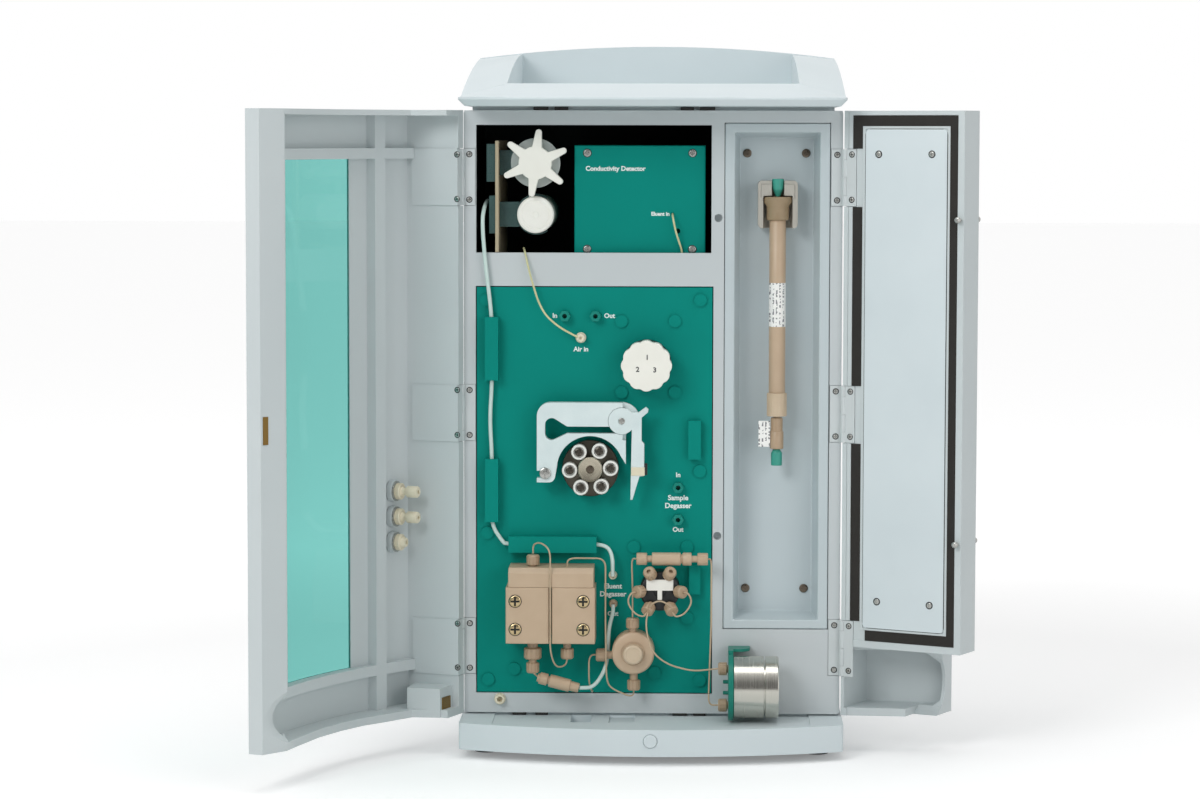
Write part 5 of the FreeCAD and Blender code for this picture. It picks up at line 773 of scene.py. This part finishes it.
# cartridges behind the star cap
cartridgePlan = {
    "upperCartridge": {"z": 564.5, "finish": "white", "rings": [(17.6, -124), (17.6, -4.0), (16.8, -3.0),
                                                                (14.0, -1.5)]},
    "clearFlange": {"z": 564.5, "finish": "clearPart",
                    "rings": [(23.0, -4.4), (23.6, -3.9), (23.6, -2.0), (23.0, -1.5), (16.0, -1.5)]},
    "lowerCartridge": {"z": 515.2, "finish": "whiteGloss",
                       "rings": [(17.6, -121), (17.6, -2.2), (16.4, -1.0), (14.2, -1.0), (13.8, -1.5), (12.6, -1.5),
                                 (12.2, -1.1), (3.0, -1.1), (2.6, -1.5)]},
}
for pieceName, plan in cartridgePlan.items():
    turnPiece(pieceName, plan, 64, (-112.0, 0, plan["z"]), facing, "cabinet",
              ["absorber_cartridges"])

# column with its nuts and wrap-round label
columnPlan = {
    "columnHead": {"finish": "golden", "rings": [(12.8, 532.6), (13.3, 532.0), (13.3, 527.2), (10.7, 523.6),
                                                 (10.7, 511.0), (10.2, 510.4), (7.9, 510.4)]},
    "columnTube": {"finish": "peek", "rings": [(7.6, 510.8), (7.9, 510.4), (7.9, 344.8), (7.6, 344.4)]},
    "columnLowNut": {"finish": "peekPale", "flutes": [(323.5, 344.0, 20, 0.25)],
                     "rings": [(9.0, 344.8), (9.6, 344.2), (9.6, 323.0), (9.0, 322.4), (3.4, 322.4), (3.2, 321.0)]},
    "columnEndNut": {"finish": "peekShaded", "flutes": [(309.0, 320.0, 10, 0.4)],
                     "rings": [(5.2, 321.0), (5.8, 320.4), (5.8, 308.2), (6.2, 307.8), (6.6, 307.0), (6.6, 291.6),
                               (6.0, 291.0)]},
    "columnWrap": {"finish": "labelPaper", "rings": [(7.98, 450.4), (8.06, 450.3), (8.06, 408.5), (7.98, 408.4)]},
}
for pieceName, plan in columnPlan.items():
    turnPiece(pieceName, plan, 60, (119.2, 14.0, 0), (0, 0, 1), "cabinet", ["column"])
print("stage: column")

# tube bulkheads on the left door: steel washer and nut, then a spout on the lowest and barbs on the others
doorIn = (0.9272, -0.3746, 0)
bulkheadPlaces = [(-245.01, -11.18, 202.0), (-245.01, -11.18, 226.5), (-245.01, -11.18, 251.0)]
bulkheadPlan = {
    "bulkheadWasher": {"finish": "screw", "rings": [(9.6, 0), (9.6, 1.3), (9.2, 1.6), (6.0, 1.6)]},
    "bulkheadNut": {"finish": "creamNut", "flutes": [(2.1, 5.9, 10, 0.5)],
                    "rings": [(7.4, 1.6), (8.0, 2.0), (8.0, 6.0), (7.2, 6.8), (4.6, 6.8), (4.2, 8.2), (3.4, 9.2)]},
    "bulkheadBarb": {"finish": "creamNut", "rings": [(3.4, 6.6), (3.4, 12.0), (5.0, 12.2), (5.6, 13.0), (5.6, 22.6),
                                                     (4.8, 23.8), (1.9, 24.0), (1.9, 21.5)]},
    "bulkheadSpout": {"finish": "creamNut", "rings": [(6.0, 6.4), (6.0, 7.2), (4.2, 11.0), (2.0, 11.0), (2.0, 9.0)]},
}
for number, place in enumerate(bulkheadPlaces):
    leftOut = "bulkheadBarb" if number == 0 else "bulkheadSpout"
    for partName, plan in bulkheadPlan.items():
        if partName != leftOut:
            turnPiece("%s_%d" % (partName, number + 1), plan, 40, place, doorIn, "door_left",
                      ["tube_bulkheads"])
print("stage: bulkheads")

# dark strips of painted shade behind the narrow gaps round the panels, dark discs of painted shade in the catch
# holes, pads under the tray and on the base
gapShadePlan = {
    "panelGapShade": {"x": (-171.0, 58.6), "z": (53.0, 449.2), "width": 6.0, "y": (4.2, 6.6)},
    "columnGapShade": {"x": (65.6, 171.4), "z": (115.6, 605.4), "width": 6.0, "y": (7.8, 9.4)},
}
# near-black frames behind the gaps round the green panel and the column bay: painted shade in the gaps
for gapShadeName, plan in gapShadePlan.items():
    (left, right), (low, high), (front, back) = plan["x"], plan["z"], plan["y"]
    deselectAll()
    bpy.ops.mesh.primitive_plane_add(size=1, location=(0, 0, 0), rotation=(math.radians(90), 0, 0))
    paintedShade = bpy.context.object
    paintedShade.scale = ((right - left) * mm, (high - low) * mm, 1)
    paintedShade.location = ((left + right) / 2 * mm, front * mm, (low + high) / 2 * mm)
    frameFromPlane(paintedShade, plan["width"], (0, back - front, 0))
    softenEdges(paintedShade, 0.3, 1)
    handOver(paintedShade, gapShadeName, "paintedShade", "cabinet")
# near-black discs on the mullion: painted shade in the ball catch holes
for number, z in enumerate((208.0, 512.5)):
    socket = latheRings("catchHoleShade", [(3.75, 0), (3.75, 0.5), (3.2, 0.8), (1.6, 0.8), (1.4, 0.3)], 32)
    smoothPiece(layAlong(socket, (62.5, 10.6, z), facing))
    handOver(socket, "catchSocket_%d" % (number + 1), "paintedShade", "cabinet")
# pads: front, back, low, high, and each one's left and right end
padPlan = {"trayPad": (0.6, 6.8, 614.7, 617.9, [(-114, -100), (-94, -81), (26, 39), (44, 59)]),
           "basePad": (0.6, 6.8, 33.4, 35.9, [(-134, -121), (-112, -100), (20, 34), (40, 52)])}
for padName, (front, back, low, high, spans) in padPlan.items():
    for number, (left, right) in enumerate(spans):
        pad = addBox(((left + right) / 2, (front + back) / 2, (low + high) / 2),
                     (right - left, back - front, high - low))
        softenEdges(pad, 0.5)
        handOver(pad, "%s_%d" % (padName, number + 1), "rubber", "cabinet")
print("stage: seals")

# the inner sheet of the right door lies in a thin near-black frame with rounded corners: painted shade for the gap at
# its edge
edgePlan = {"centre": (238.65, -34.95, 359.75), "half": (42.6, 237.6), "corner": 6.0, "width": 0.9, "deep": 0.25,
            "across": (0.8829, -0.4695, 0)}
deselectAll()
bpy.ops.mesh.primitive_plane_add(size=1, location=(0, 0, 0))
edge = bpy.context.object
edge.scale = (2 * edgePlan["half"][0] * mm, 2 * edgePlan["half"][1] * mm, 1)
frameFromPlane(edge, edgePlan["width"], (0, 0, edgePlan["deep"]), edgePlan["corner"])
deselectAll()
stance = Matrix((Vector(edgePlan["across"]), Vector((0, 0, 1)), Vector(doorFacing))).transposed().to_4x4()
edge.matrix_world = Matrix.Translation([value * mm for value in edgePlan["centre"]]) @ stance
settle(edge)
handOver(edge, "innerSheetShadeLine", "paintedShade", "door_right")

# printed words, set as thin raised ink: text, x and z, how far back it lies, size
wordPlan = [
    ("In", (-93.4, 417.0), 0.0, 6.2, "cabinet"), ("Out", (-41.2, 417.0), 0.0, 6.2, "cabinet"),
    ("Air in", (-68.4, 385.0), 0.0, 6.2, "cabinet"), ("In", (24.9, 264.6), 0.0, 6.2, "cabinet"),
    ("Sample", (24.9, 242.4), 0.0, 6.8, "cabinet"), ("Degasser", (24.9, 234.8), 0.0, 6.8, "cabinet"),
    ("Out", (24.9, 212.0), 0.0, 6.2, "cabinet"), ("Eluent", (-37.4, 156.8), 0.0, 6.8, "cabinet"),
    ("Degasser", (-37.4, 149.2), 0.0, 6.8, "cabinet"), ("Out", (-37.4, 130.4), 0.0, 6.2, "cabinet"),
    ("Eluent in", (7.0, 514.4), 12.0, 5.0, "cabinet"),
    ("Conductivity Detector", (-36.0, 557.2), 12.0, 6.2, "cabinet"),
    ("1", (-4.6, 379.2), -34.1, 6.6, "suppressor_dial"), ("2", (-13.6, 367.8), -34.1, 6.6, "suppressor_dial"),
    ("3", (2.6, 367.4), -34.1, 6.6, "suppressor_dial"),
]
for number, (words, (x, z), y, sizeMm, body) in enumerate(wordPlan):
    deselectAll()
    bpy.ops.object.text_add(location=(0, 0, 0))
    ink = bpy.context.object
    ink.data.body = words
    ink.data.size = sizeMm * mm
    ink.data.align_x = "CENTER"
    ink.data.extrude = 0.05 * mm
    ink.data.offset = 0.2 * mm
    ink.data.resolution_u = 3
    bpy.ops.object.convert(target="MESH")
    ink = bpy.context.object
    ink.rotation_euler = (math.radians(90), 0, 0)
    ink.location = (x * mm, (y - 0.06) * mm, z * mm)
    settle(ink)
    finish = "darkPrint" if body == "suppressor_dial" else "print"
    handOver(ink, "word_%02d" % (number + 1), finish, body)
print("stage: words", len(wordPlan))
